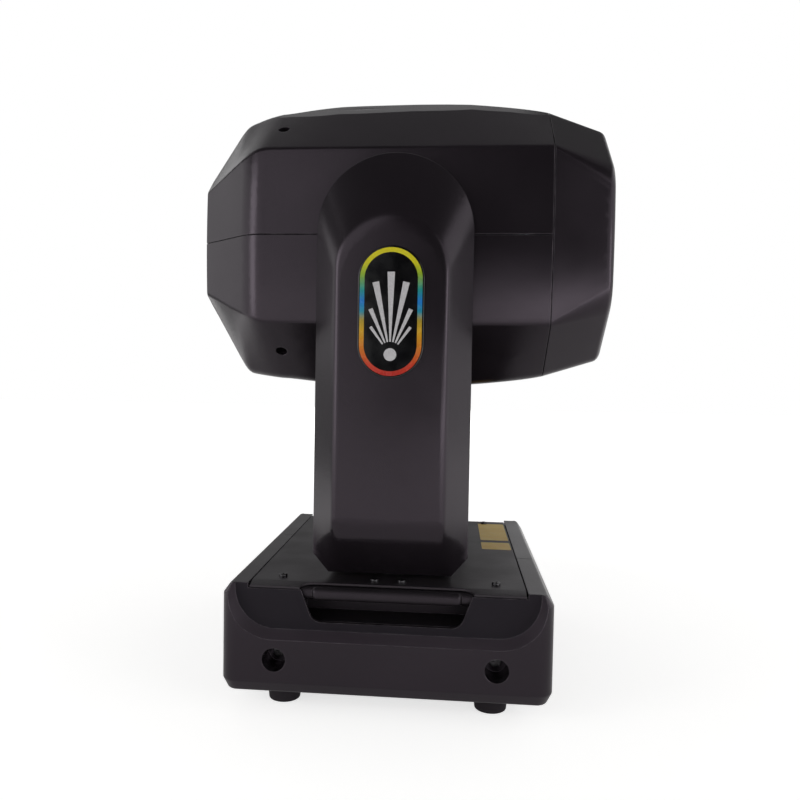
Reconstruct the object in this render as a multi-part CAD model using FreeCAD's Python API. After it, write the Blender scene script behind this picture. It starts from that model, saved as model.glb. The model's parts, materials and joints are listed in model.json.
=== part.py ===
import FreeCAD, Part
import math
import os

# A moving-head laser show projector, in millimetres: a base that stands on rubber feet, a yoke that pans on
# the base and a head that tilts between the yoke's two arms. +X is the way the beam leaves at rest, +Z is up,
# and the origin lies on the floor under the pan axis. The near side is at -Y, and what stands on both sides
# is modelled near and turned half a turn about the pan axis for the far side.

Vec = FreeCAD.Vector
ORIGIN = Vec(0, 0, 0)
UP = Vec(0, 0, 1)
ALONG_X = Vec(1, 0, 0)

# Clearances
running_gap = 0.05          # on the radius, a shaft turning in its bearing
fit_gap = 0.02              # on the radius, a bore on the shaft that carries it
set_gap = 0.3               # between pieces that are set together or pass each other
seam_gap = 0.6              # the line that shows between two mouldings
cut_over = 1.0              # how far a cutting tool reaches past the face it opens
least_radius = 1.0          # no corner is made sharper when its outline is set in
same_place = 1e-6           # points closer than this are one point

# Base covers: two equal mouldings, each wrapping one end of the base
base_width = 237.0          # along X
base_depth = 292.0          # along Y
base_corner_radius = 12.0
floor_height = 14.0         # floor to the lower edge of the covers
cover_height = 77.0
cover_wall = 3.0
top_chamfer_in = 5.0
top_chamfer_drop = 7.0
bottom_chamfer_in = 4.0
bottom_chamfer_rise = 8.0
cover_edge_radius = 2.5     # on the covers' level edges
cover_edge_steps = 3
cover_wrap = 30.0           # how far one cover reaches past the middle on its long side
strip_width = 18.0          # the flat strip of cover beside the top plate

# Scoop in each end of the base, with the handle in it
scoop_end_margin = 8.5      # from the base's side to the scoop's end
scoop_drop = 33.0           # from the base's top to the scoop's lower edge
scoop_depth = 10.0
scoop_radius = 30.0
scoop_bevel = 5.0
pocket_half_top = 63.0
pocket_half_bottom = 53.0
pocket_drop = 27.0
pocket_radius = 9.0
handle_depth = 33.0
handle_wall = 2.5
grip_half_length = 54.0
grip_height = 9.5
grip_thickness = 12.0
grip_drop = 2.5             # from the base's top to the top of the grip
grip_radius = 4.0
grip_end_radius = 3.0

# Screw wells of the covers and the posts behind them
post_place = 0.326          # where the posts stand in the free width between hand pocket and top plate
well_height = 24.5          # centre, above the cover's lower edge
well_radius = 8.5
well_depth = 22.0
well_wall = 2.0
post_size = 12.0

# Sheet metal of the base
base_sheet = 2.0
base_plate_recess = 1.0     # plate's underside above the cover's lower edge
base_plate_margin = 1.0     # plate's edge to the covers
top_sheet = 1.5
top_plate_gap = 1.0
fold_inset = 20.0           # from the base's end to the fold of the top plate
fold_drop = 2.0
lip_setback = 0.5
notch_to_fold = 2.0         # what is left of the lip over the hand pocket
shaft_hole_gap = 3.0
handle_screw_x = 10.0
handle_screw_inset = 28.0   # from the base's end
clamp_spacing_x = 106.0
clamp_spacing_y = 60.0
clamp_hole_radius = 5.2

# Feet and screws
foot_radius = 13.0
foot_taper = 1.5
foot_inset_x = 42.0
foot_inset_y = 30.0
foot_edge = 1.5
screw_head_radius = 3.2
screw_head_height = 2.0
screw_head_edge = 0.9
screw_cross_half_width = 0.35
screw_cross_depth = 1.0
screw_radius = 1.5
screw_length = 10.0
well_screw_head_radius = 4.6
well_screw_head_height = 2.8
well_screw_radius = 2.0

# Display side, on +X, and connector side, on -X
window_half_height = 22.0
display_half_length = 58.0
connector_half_length = 70.0
panel_flange = 4.0
display_panel_thickness = 3.0
connector_sheet = 2.0
panel_corner = 4.0
lens_half_length = 28.0
lens_half_height = 14.0
lens_thickness = 1.8
lens_ledge = 2.0
lens_y = -22.0
key_radius = 5.0
key_flange = 1.6
key_flange_thickness = 1.2
key_proud = 1.5
key_travel = 1.2
key_places = ((26.0, 10.0), (44.0, 10.0), (26.0, -10.0), (44.0, -10.0))
key_switch_size = 6.0
key_switch_height = 1.4
key_board_gap = 2.7         # from the back of a key's flange to the board
board_thickness = 1.6
standoff_radius = 2.5
inlet_y = -42.0
inlet_half_length = 24.0
inlet_half_height = 14.0
inlet_flange = 2.5
inlet_body_margin = 3.0
inlet_depth = 24.0
socket_half_length = 11.5
socket_half_height = 8.0
socket_depth = 16.0
socket_offset = 9.0         # mains socket beside the fuse drawer
pin_length = 9.5
inlet_pins = ((-7.0, -1.5), (0.0, 2.0), (7.0, -1.5))
inlet_pin_half_width = 1.0
inlet_pin_half_height = 2.0
fuse_drawer_half_length = 6.5
fuse_drawer_half_height = 9.0
fuse_drawer_proud = 0.8
data_input_y = 12.0
data_output_y = 46.0
data_half_width = 13.0
data_half_height = 15.5
data_flange = 2.0
data_body_radius = 11.8
data_depth = 22.0
data_bore_radius = 8.0
data_bore_depth = 15.0
data_pin_radius = 1.2
data_pin_circle = 4.0
data_pin_angles = (210, 330, 90)

# Pan drive inside the base
deck_z = 60.0               # underside of the deck
deck_sheet = 3.0
deck_rear = 50.0
deck_past_motor = 3.0
deck_half_y = 45.0
deck_foot = 12.0
pan_bearing_bore = 20.0
pan_bearing_radius = 26.0
pan_bearing_width = 9.0
pan_boss_wall = 8.0
pan_boss_lip = 2.0
pan_bearing_setback = 1.0   # bearing below the underside of the deck
pan_hub_wall = 3.0
pan_shaft_bore = 14.0
pan_pulley_holes = 8
motor_to_board = 7.4        # pan motor to the board behind the display
motor_size = 42.0
motor_length = 40.0
motor_corner = 5.0
motor_pilot_radius = 11.0
motor_pilot_height = 2.0
motor_shaft_radius = 2.5
motor_shaft_depth = 12.0
pan_pulley_radius = 36.0
pan_pinion_radius = 9.0
tilt_pulley_radius = 27.0
tilt_pinion_radius = 9.0
belt_width = 6.0
belt_thickness = 1.6
pulley_flange = 1.0
pulley_flange_rise = 1.5
pulley_side_gap = 1.0       # belt edge to flange
pulley_lift = 2.0           # pulley above the face of its motor's carrier

# Power supply and control board
supply_length = 150.0
supply_to_panel = 20.2      # from the connector panel's face
supply_to_deck = 5.0        # from the foot of the pan deck
supply_to_post = 6.7
supply_height = 38.0
supply_slots = 9
supply_slot_width = 5.0
supply_slot_margin = 6.0
control_length = 150.0
control_to_panel = 25.2
control_to_deck = 5.0
control_to_post = 4.7
control_lift = 8.0
# Blocks on a board: place along it, place across it, length, width and height
control_blocks = ((0.25, 0.5, 20, 20, 4), (0.5, 0.3, 16, 12, 9),
                  (0.75, 0.5, 30, 14, 11), (0.9, 0.7, 8, 8, 6))

# Yoke
yoke_gap = 3.0              # base top plate to the yoke
shaft_flange_radius = 38.0
shaft_flange = 3.0
yoke_sheet = 3.0
yoke_plate_half_x = 42.0
tab_height = 24.0
tab_width = 18.0
tilt_axis_z = 348.0
arm_inner_y = 101.5         # inner face of an arm
arm_liner = 2.5             # inner arm cover
arm_rim = 4.0               # straight rim of the outer arm cover
arm_bulge = 28.0            # from the rim out to the flat face
arm_half_width = 58.0
arm_corner_x = 12.0
arm_corner_z = 14.0
arm_wall = 2.8
arm_rim_radius = 1.5        # soft edge between the rim and the bevels
arm_face_radius = 6.0       # soft edge between the bevels and the flat face
arm_edge_steps = 4
face_half_width = 39.5      # flat outer face of an arm
face_drop = 33.0            # centre of the face's round top below the tilt axis
face_rise = 34.0            # foot of the face above the arm's lower edge
face_corner = 8.0
arm_plate_half_x = 36.0
arm_plate_holes = (0.32, 0.5, 0.68)     # shares of the way from motor to tilt axis
bridge_top = 150.0
bridge_half_low = 46.0
bridge_half_high = 36.0
bridge_shoulder = 120.0
bridge_radius = 12.0
bridge_wall = 2.5
tilt_motor_z = 125.0
tilt_bearing_bore = 10.0
tilt_bearing_radius = 16.0
tilt_bearing_width = 7.0
tilt_bearing_setback = 1.0  # inner side of the bearing from the arm's inner face
bearing_flange_radius = 24.0
bearing_flange = 2.5
badge_half_width = 23.5
badge_height = 93.0
badge_centre_drop = 60.5    # below the tilt axis
badge_thickness = 1.6
badge_edge = 0.8

# Head housing: an eight-sided section that swells and tapers along X
head_rear = -160.0
head_front = 162.0
head_half_width = 98.0
head_half_height = 114.0
head_wall = 2.8
side_flat = 66.0            # half-height of the sides
side_crown = 480.0          # radius of the sides' slight bulge
side_end = 2.0              # straight end of a side between its bulge and its crease
top_flat = 46.0             # half-width of the flat top
crease_radius = 5.0
crest_radius = 16.0
side_break = -112.0         # where the sides turn in to the rear
side_break_soft = 9.0
top_break = -129.0          # where top and bottom turn down to the rear
top_break_soft = 5.0
top_break_slope = 1.05
low_break = -127.0
low_break_slope = 1.5
flat_break = -105.0         # where the side flats begin to narrow
flat_break_soft = 8.0
side_flat_slope = 0.44
top_flat_slope = 0.3
crown_rear_x = -20.0
crown_rear = 0.00125
crown_rear_low = 0.0007
crown_front_x = 20.0
crown_front = 0.00098
bezel_seam = 116.0
bezel_side_slope = 0.15
bezel_top_slope = 0.12
bezel_flat_slope = 0.39
bezel_crease_growth = 0.55
rim_radius = 4.5
rim_steps = 4
collar_length = 9.0
collar_wall = 2.0
ledge_depth = 5.0
ledge_thickness = 2.7
head_well_x = -92.0
head_well_radius = 4.5
head_well_depth = 12.0
head_well_wall = 2.0
boss_radius = 5.0
boss_x = (-78.0, 84.0)
boss_y = 60.0
trunnion_hole_gap = 4.0

# Inside the head
head_deck_drop = 48.0       # deck's underside below the tilt axis
head_deck_sheet = 2.5
head_deck_x = (-95.0, 104.0)
trunnion_plate = 2.5
trunnion_half_x = 30.0
trunnion_top = 24.0
trunnion_foot = 20.0
trunnion_bore = 6.5
trunnion_flange_radius = 22.0
trunnion_flange = 2.2
trunnion_end = 1.5          # shaft past the outer side of its pulley
laser_x = (-68.0, 32.0)
laser_half_y = 42.0
laser_height = 44.0
laser_edge = 3.0
beam_drop = 18.0            # laser beam below the tilt axis
beam_y = -25.0
beam_port_radius = 6.0
beam_port_length = 4.0
sink_x = (-80.0, 44.0)
sink_half_y = 46.0
sink_height = 36.0
sink_base = 6.0
sink_fin = 2.5
sink_fins = 12
board_x = (-60.0, 45.0)
board_y = (50.0, 86.0)
board_lift = 6.0
driver_blocks = ((0.2, 0.5, 14, 14, 12), (0.5, 0.6, 22, 16, 5), (0.8, 0.5, 10, 26, 16))
front_plate_x = 146.0
front_plate_sheet = 2.0
glass_half_width = 32.0
glass_half_height = 22.0
glass_thickness = 3.0
glass_corner = 5.0
glass_lap = 4.0
grille_half_width = 40.0
grille_half_height = 44.0
grille_lap = 5.0
grille_thickness = 2.4
grille_corner = 8.0
grille_bars = 9
grille_bar = 2.6
fan_half = 40.0
fan_thickness = 25.0
fan_bore = 37.5
fan_corner = 5.0
fan_hub_radius = 16.0
fan_hub_length = 18.0
fan_strut = 3.0
fan_blade_tip_gap = 1.5
fan_blade_thickness = 1.8
fan_blade_chord = 18.0
fan_blade_angle = 35.0
fan_blades = 7
fan_pin_radius = 1.5
fan_pin_length = 10.0
mirror_x = 105.0
galvo_radius = 8.0
galvo_length = 30.0
galvo_stand = 12.0          # mirror centre to the front of its motor
mirror_half_width = 6.0
mirror_half_length = 8.0
mirror_thickness = 1.5
mirror_shaft_radius = 1.4
galvo_block_wall = 4.0
galvo_block_length = 18.0
galvo_foot = 4.0

# Levels and faces worked out from the sizes above
half_x = base_width / 2
half_y = base_depth / 2
cover_z = floor_height
top_z = cover_z + cover_height
scoop_y = half_y - scoop_depth
scoop_half = half_x - scoop_end_margin
scoop_z = top_z - scoop_drop
opening_half = half_x - strip_width
opening_depth = top_sheet + fold_drop + set_gap
pocket_z = top_z - pocket_drop
well_z = cover_z + well_height
pocket_outer = pocket_half_top + handle_wall
post_room = opening_half - pocket_outer - post_size
well_x = pocket_outer + post_room * post_place + post_size / 2
post_y = half_y - well_depth - cover_wall - set_gap - post_size / 2
plate_z = cover_z + base_plate_recess
inside_z = plate_z + base_sheet
handle_screw_y = half_y - handle_screw_inset
window_z = (cover_z + bottom_chamfer_rise + top_z - top_chamfer_drop) / 2
panel_x = half_x - cover_wall - set_gap
key_flange_back = panel_x - display_panel_thickness - set_gap - key_flange_thickness
key_board_front = key_flange_back - key_board_gap
pan_motor_x = key_board_front - board_thickness - motor_to_board - motor_size / 2
deck_front = pan_motor_x + motor_size / 2 + deck_past_motor
deck_foot_y = deck_half_y + deck_foot
post_inside_y = post_y - post_size / 2
supply_x = (-panel_x + supply_to_panel, -panel_x + supply_to_panel + supply_length)
supply_y = (deck_foot_y + supply_to_deck, post_inside_y - supply_to_post)
control_x = (-panel_x + control_to_panel, -panel_x + control_to_panel + control_length)
control_y = (-post_inside_y + control_to_post, -deck_foot_y - control_to_deck)
deck_top = deck_z + deck_sheet
pulley_width = belt_width + 2 * (pulley_side_gap + pulley_flange)
pan_pulley_z = deck_top + pulley_lift
pan_bearing_z = deck_z - pan_bearing_setback - pan_bearing_width
yoke_z = top_z + yoke_gap
yoke_plate_z = yoke_z + shaft_flange
yoke_floor = yoke_plate_z + yoke_sheet
arm_joint_y = arm_inner_y + arm_liner
arm_outline_y = arm_joint_y + arm_rim
arm_face_y = arm_outline_y + arm_bulge
arm_plate_y = arm_joint_y + yoke_sheet
tilt_pulley_y = arm_plate_y + bearing_flange + pulley_side_gap
tilt_span = tilt_axis_z - tilt_motor_z
deck_low = tilt_axis_z - head_deck_drop
deck_high = deck_low + head_deck_sheet
trunnion_seat = trunnion_flange_radius ** 2 / (2 * side_crown) + set_gap
trunnion_y = head_half_width - head_wall - trunnion_flange - trunnion_seat
grille_x = head_rear + head_wall + fit_gap
fan_x = grille_x + grille_thickness + fit_gap
beam_z = tilt_axis_z - beam_drop
sleeve_inset = head_wall + set_gap
bezel_wall = sleeve_inset + collar_wall


def box(x, y, z):
    """A block between the (low, high) limits along X, Y and Z."""
    return Part.makeBox(x[1] - x[0], y[1] - y[0], z[1] - z[0], Vec(x[0], y[0], z[0]))


def rod(radius, start, end):
    """A cylinder from one point to another."""
    return Part.makeCylinder(radius, (end - start).Length, start, end - start)


def tube(outer, inner, start, end):
    """A pipe from one point to another."""
    return rod(outer, start, end).cut(rod(inner, start, end))


def turned(shape, angle=180, axis=UP, about=ORIGIN):
    """A copy turned about an axis, half a turn about the pan axis unless told otherwise."""
    copy = shape.copy()
    copy.rotate(about, axis, angle)
    return copy


def moved(shape, offset):
    """A copy set off by a vector."""
    copy = shape.copy()
    copy.translate(offset)
    return copy


def on_level(z):
    """Places flat points (x, y) at a height."""
    return lambda u, v: Vec(u, v, z)


def on_end(y):
    """Places flat points (x, z) on a plane facing along Y."""
    return lambda u, v: Vec(u, y, v)


def on_side(x):
    """Places flat points (y, z) on a plane facing along X."""
    return lambda u, v: Vec(x, u, v)


def outline(corners, place):
    """A closed wire through (u, v, radius) corners, each rounded by a tangent arc."""
    flat = [Vec(u, v, 0) for u, v, radius in corners]
    turns = []
    for index, corner in enumerate(corners):
        radius = corner[2]
        here = flat[index]
        back = (flat[index - 1] - here).normalize()
        ahead = (flat[(index + 1) % len(flat)] - here).normalize()
        half_angle = back.getAngle(ahead) / 2
        reach = radius / math.tan(half_angle)
        inward = (back + ahead).normalize()
        middle = here + inward * (radius / math.sin(half_angle) - radius)
        turns.append((here + back * reach, middle, here + ahead * reach, radius))
    edges = []
    for index, (start, middle, finish, radius) in enumerate(turns):
        following = turns[(index + 1) % len(turns)][0]
        if radius > 0:
            points = [place(p.x, p.y) for p in (start, middle, finish)]
            edges.append(Part.Arc(*points).toShape())
        if (following - finish).Length > same_place:
            line = Part.LineSegment(place(finish.x, finish.y), place(following.x, following.y))
            edges.append(line.toShape())
    return Part.Wire(edges)


def rectangle(half_u, half_v, radius, centre=(0, 0)):
    """The corners of a rounded rectangle for outline()."""
    u, v = centre
    return [(u + half_u, v - half_v, radius), (u + half_u, v + half_v, radius),
            (u - half_u, v + half_v, radius), (u - half_u, v - half_v, radius)]


def slab(corners, place, direction):
    """A flat outline pushed along a vector."""
    return Part.Face(outline(corners, place)).extrude(direction)


def loft(wires, ruled=True):
    """A closed solid through a row of wires."""
    return Part.makeLoft(wires, True, ruled)


def fuse(shapes):
    """One solid from several that meet."""
    return shapes[0].multiFuse(shapes[1:]).removeSplitter()


def soft_path(corners, steps):
    """Points along an open line of (u, v, radius) corners, with rounded corners as rows of short steps."""
    flat = [Vec(u, v, 0) for u, v, radius in corners]
    points = [flat[0]]
    for index in range(1, len(flat) - 1):
        here = flat[index]
        radius = corners[index][2]
        back = (flat[index - 1] - here).normalize()
        ahead = (flat[index + 1] - here).normalize()
        half_angle = back.getAngle(ahead) / 2
        reach = radius / math.tan(half_angle)
        middle = here + (back + ahead).normalize() * (radius / math.sin(half_angle) - radius)
        turn = Part.Arc(here + back * reach, middle, here + ahead * reach).toShape()
        points += turn.discretize(steps + 1)
    points.append(flat[-1])
    return [(point.x, point.y) for point in points]


def soft_ramp(distance, soft):
    """Zero before a break, the distance after it, and a parabola between them."""
    if distance <= -soft:
        return 0.0
    if distance >= soft:
        return distance
    return (distance + soft) ** 2 / (4 * soft)


# Base


def base_block(levels):
    """The base's rounded block through (height, inset) levels."""
    wires = []
    for z, inset in levels:
        radius = max(base_corner_radius - inset, least_radius)
        wires.append(outline(rectangle(half_x - inset, half_y - inset, radius), on_level(z)))
    return loft(wires)


def scoop_block(grow, y_out, y_in):
    """The scoop's tapered block between two distances from the middle, on the near side."""
    wires = []
    for y in (y_out, y_in):
        flare = grow + scoop_bevel * (y - scoop_y) / scoop_depth
        half = scoop_half + flare
        high = top_z + scoop_radius
        low = scoop_z - flare
        corners = [(half, low, scoop_radius + flare), (half, high, 0), (-half, high, 0),
                   (-half, low, scoop_radius + flare)]
        wires.append(outline(corners, on_end(-y)))
    return loft(wires)


def pocket_corners():
    """The hand pocket's outline in the back of the scoop, open to the top."""
    return [(pocket_half_bottom, pocket_z, pocket_radius), (pocket_half_top, top_z, 0),
            (-pocket_half_top, top_z, 0), (-pocket_half_bottom, pocket_z, pocket_radius)]


def near_well(x, outer):
    """One screw well behind the near face: its pipe with a floor, or the hole in it."""
    floor_y = -(half_y - well_depth)
    if outer:
        return rod(well_radius + well_wall, Vec(x, -half_y + cover_wall / 2, well_z),
                   Vec(x, floor_y + cover_wall, well_z))
    hole = rod(well_radius, Vec(x, -half_y - cut_over, well_z), Vec(x, floor_y, well_z))
    return hole.fuse(rod(well_screw_radius + running_gap, Vec(x, floor_y - cut_over, well_z),
                         Vec(x, floor_y + cover_wall + cut_over, well_z)))


def window_cut(side, half_length):
    """The opening through a long side for the display or the connectors."""
    corners = rectangle(half_length, window_half_height, panel_corner, (0, window_z))
    depth = cover_wall + 2 * cut_over
    start = side * (half_x + cut_over)
    return slab(corners, on_side(start), Vec(-side * depth, 0, 0))


def whole_cover():
    """Both base covers as one ring, before they are parted."""
    edge = cover_edge_radius
    profile = [(cover_z, bottom_chamfer_in + edge, 0), (cover_z, bottom_chamfer_in, edge),
               (cover_z + bottom_chamfer_rise, 0, edge), (top_z - top_chamfer_drop, 0, edge),
               (top_z, top_chamfer_in, edge), (top_z, top_chamfer_in + edge, 0)]
    outer = base_block(soft_path(profile, cover_edge_steps)[1:-1])
    low_slope = bottom_chamfer_in / bottom_chamfer_rise
    inner = base_block([(cover_z - cut_over, cover_wall + bottom_chamfer_in + cut_over * low_slope),
                        (cover_z + bottom_chamfer_rise, cover_wall),
                        (top_z - top_chamfer_drop - cover_wall, cover_wall),
                        (top_z - cover_wall, cover_wall + top_chamfer_in)])
    ring = outer.cut(inner)
    additions = []
    cuts = []
    for angle in (0, 180):
        liner = scoop_block(cover_wall, half_y, scoop_y - cover_wall).common(outer)
        additions.append(turned(liner, angle))
        cuts.append(turned(scoop_block(0, half_y + cut_over, scoop_y), angle))
        pocket = slab(pocket_corners(), on_end(-scoop_y - cut_over), Vec(0, cover_wall + 2 * cut_over, 0))
        cuts.append(turned(pocket, angle))
        for x in (-well_x, well_x):
            additions.append(turned(near_well(x, True), angle))
            cuts.append(turned(near_well(x, False), angle))
    cuts.append(box((-opening_half, opening_half), (-half_y - cut_over, half_y + cut_over),
                    (top_z - opening_depth, top_z + scoop_radius)))
    cuts.append(window_cut(1, display_half_length))
    cuts.append(window_cut(-1, connector_half_length))
    ring = ring.multiFuse(additions)
    return ring.cut(cuts)


def base_covers():
    """The near and the far cover, parted at staggered seams on the long sides."""
    ring = whole_cover()
    reach = half_y + cut_over
    levels = (cover_z - cut_over, top_z + cut_over)
    edge = seam_gap / 2
    wide = (0, half_x + cut_over)
    far_side = box(wide, (-cover_wrap - edge, reach), levels)
    far_side = far_side.fuse(box((-wide[1], 0), (cover_wrap - edge, reach), levels))
    near_side = box(wide, (-reach, -cover_wrap + edge), levels)
    near_side = near_side.fuse(box((-wide[1], 0), (-reach, cover_wrap + edge), levels))
    return ring.cut(far_side), ring.cut(near_side)


def near_handle():
    """The hand pocket behind the scoop with the grip across its mouth, as one moulding."""
    front = -(scoop_y - cover_wall - set_gap)
    back = front + handle_depth
    cup_top = top_z - opening_depth
    half = pocket_outer
    cup = box((-half, half), (front, back), (pocket_z - handle_wall, cup_top))
    low_edges = [edge for edge in cup.Edges if is_level_edge(edge, pocket_z - handle_wall)]
    cup = cup.makeFillet(grip_radius, low_edges)
    hollow = box((-pocket_half_top, pocket_half_top), (front - cut_over, back - handle_wall),
                 (pocket_z, top_z))
    shelf_front = -handle_screw_y - post_size / 2 - handle_wall
    shelf = box((-half, half), (shelf_front, back), (cup_top - handle_wall, cup_top))
    pads = []
    for x in (-handle_screw_x, handle_screw_x):
        pads.append(box((x - post_size / 2, x + post_size / 2),
                        (-handle_screw_y - post_size / 2, -handle_screw_y + post_size / 2),
                        (cup_top - handle_wall, top_z - top_sheet)))
    grip = fuse([cup.cut(hollow), shelf] + pads)
    bar = grip_bar(grip_half_length, -(scoop_y - lip_setback))
    end_edges = [edge for edge in bar.Edges if abs(edge.CenterOfMass.x) > grip_half_length - fit_gap]
    bar = bar.makeFillet(grip_end_radius, end_edges)
    ends = grip_bar(pocket_half_top + handle_wall / 2, front)
    grip = fuse([grip, bar, ends])
    for x in (-handle_screw_x, handle_screw_x):
        grip = grip.cut(rod(screw_radius + fit_gap, Vec(x, -handle_screw_y, top_z - screw_length),
                            Vec(x, -handle_screw_y, top_z)))
    return grip


def is_level_edge(edge, z):
    """Whether an edge runs along X at a height."""
    ends = [vertex.Point for vertex in edge.Vertexes]
    level = len(ends) == 2 and all(abs(p.z - z) < fit_gap for p in ends)
    return level and abs(ends[0].y - ends[1].y) < fit_gap


def grip_bar(half_length, front):
    """A rounded bar along X under the top edge, from its front face back."""
    centre_z = top_z - grip_drop - grip_height / 2
    depth = -(scoop_y - lip_setback) + grip_thickness - front
    corners = rectangle(depth / 2, grip_height / 2, grip_radius, (front + depth / 2, centre_z))
    return slab(corners, on_side(-half_length), Vec(2 * half_length, 0, 0))


def base_plate():
    """Bottom sheet with clamp holes and four welded posts that carry the covers and the top plate."""
    inset = cover_wall + bottom_chamfer_in + base_plate_margin
    radius = max(base_corner_radius - inset, least_radius)
    plate = slab(rectangle(half_x - inset, half_y - inset, radius), on_level(plate_z), Vec(0, 0, base_sheet))
    solids = [plate]
    cuts = []
    for side_x in (-1, 1):
        for side_y in (-1, 1):
            x = side_x * well_x
            y = side_y * post_y
            half = post_size / 2
            solids.append(box((x - half, x + half), (y - half, y + half), (inside_z, top_z - top_sheet)))
            cuts.append(rod(screw_radius + fit_gap, Vec(x, y, top_z - screw_length - cut_over),
                            Vec(x, y, top_z)))
            cuts.append(rod(well_screw_radius + fit_gap, Vec(x, y - half - cut_over, well_z),
                            Vec(x, y + half + cut_over, well_z)))
            cx = side_x * clamp_spacing_x / 2
            cy = side_y * clamp_spacing_y / 2
            cuts.append(rod(clamp_hole_radius, Vec(cx, cy, plate_z - cut_over),
                            Vec(cx, cy, inside_z + cut_over)))
    return fuse(solids).cut(cuts)


def plate_screw_places():
    """Where the top plate's screws stand: over the posts and over the handles."""
    places = []
    for side in (-1, 1):
        for x in (-well_x, well_x):
            places.append((x, side * post_y))
        for x in (-handle_screw_x, handle_screw_x):
            places.append((x, side * handle_screw_y))
    return places


def top_plate():
    """Folded sheet on top of the base, notched over the hand pockets."""
    fold_y = half_y - fold_inset
    lip_y = scoop_y - lip_setback
    profile = [(-lip_y, top_z - fold_drop, 0), (-fold_y, top_z, 0), (fold_y, top_z, 0),
               (lip_y, top_z - fold_drop, 0), (lip_y, top_z - fold_drop - top_sheet, 0),
               (fold_y, top_z - top_sheet, 0), (-fold_y, top_z - top_sheet, 0),
               (-lip_y, top_z - fold_drop - top_sheet, 0)]
    half = opening_half - top_plate_gap
    plate = slab(profile, on_side(-half), Vec(2 * half, 0, 0))
    low = top_z - opening_depth
    cuts = [rod(pan_bearing_bore + shaft_hole_gap, Vec(0, 0, low), Vec(0, 0, top_z + cut_over))]
    for side in (-1, 1):
        mouth = rectangle(pocket_half_top, fold_inset - notch_to_fold, pocket_radius, (0, side * half_y))
        cuts.append(slab(mouth, on_level(low), Vec(0, 0, 2 * opening_depth)))
    for x, y in plate_screw_places():
        cuts.append(rod(screw_radius + fit_gap, Vec(x, y, low), Vec(x, y, top_z + cut_over)))
    return plate.cut(cuts)


def pan_head_screw(head_radius, head_height, shank, length):
    """A pan-head screw standing on the origin with its shank down."""
    head = rod(head_radius, ORIGIN, Vec(0, 0, head_height))
    rim = [edge for edge in head.Edges if abs(edge.CenterOfMass.z - head_height) < fit_gap]
    head = head.makeFillet(screw_head_edge, rim)
    cross = box((-head_radius / 2, head_radius / 2), (-screw_cross_half_width, screw_cross_half_width),
                (head_height - screw_cross_depth, head_height + cut_over))
    head = head.cut(cross.fuse(turned(cross, 90)))
    return fuse([head, rod(shank, Vec(0, 0, -length), ORIGIN)])


def base_screws():
    """The top plate's screws and the cover screws at the bottom of the wells."""
    screws = []
    small = pan_head_screw(screw_head_radius, screw_head_height, screw_radius, screw_length)
    for x, y in plate_screw_places():
        screws.append(moved(small, Vec(x, y, top_z)))
    large = pan_head_screw(well_screw_head_radius, well_screw_head_height, well_screw_radius, screw_length)
    flat = turned(large, 90, ALONG_X)
    for x in (-well_x, well_x):
        near = moved(flat, Vec(x, -(half_y - well_depth), well_z))
        screws.append(near)
        screws.append(turned(near))
    return Part.makeCompound(screws)


def rubber_feet():
    """Four tapered feet under the base plate."""
    feet = []
    for x in (-half_x + foot_inset_x, half_x - foot_inset_x):
        for y in (-half_y + foot_inset_y, half_y - foot_inset_y):
            foot = Part.makeCone(foot_radius - foot_taper, foot_radius, plate_z)
            rim = [edge for edge in foot.Edges if edge.CenterOfMass.z < fit_gap]
            feet.append(moved(foot.makeFillet(foot_edge, rim), Vec(x, y, 0)))
    return Part.makeCompound(feet)


def key_places_on_side():
    """The menu keys' centres as (y, z)."""
    return [(y, window_z + rise) for y, rise in key_places]


def display_panel():
    """Panel behind the display window, with a seat for the lens and holes for the keys."""
    corners = rectangle(display_half_length + panel_flange, window_half_height + panel_flange, panel_corner,
                        (0, window_z))
    back = panel_x - display_panel_thickness
    panel = slab(corners, on_side(back), Vec(display_panel_thickness, 0, 0))
    seat = rectangle(lens_half_length + set_gap, lens_half_height + set_gap, panel_corner, (lens_y, window_z))
    cuts = [slab(seat, on_side(panel_x - lens_thickness), Vec(lens_thickness + cut_over, 0, 0))]
    view = rectangle(lens_half_length - lens_ledge, lens_half_height - lens_ledge, panel_corner - lens_ledge,
                     (lens_y, window_z))
    cuts.append(slab(view, on_side(back - cut_over), Vec(display_panel_thickness + 2 * cut_over, 0, 0)))
    for y, z in key_places_on_side():
        cuts.append(rod(key_radius + set_gap, Vec(back - cut_over, y, z), Vec(panel_x + cut_over, y, z)))
    return panel.cut(cuts)


def display_window():
    """Clear lens over the display."""
    corners = rectangle(lens_half_length, lens_half_height, panel_corner, (lens_y, window_z))
    return slab(corners, on_side(panel_x - lens_thickness), Vec(lens_thickness, 0, 0))


def menu_key(y, z):
    """One push key with the flange that keeps it behind the panel."""
    tip = Vec(panel_x + key_proud, y, z)
    rear = key_flange_back
    cap = rod(key_radius, Vec(rear, y, z), tip)
    rim = [edge for edge in cap.Edges if abs(edge.CenterOfMass.x - tip.x) < fit_gap]
    cap = cap.makeFillet(key_proud / 2, rim)
    return fuse([cap, rod(key_radius + key_flange, Vec(rear, y, z), Vec(rear + key_flange_thickness, y, z))])


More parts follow.
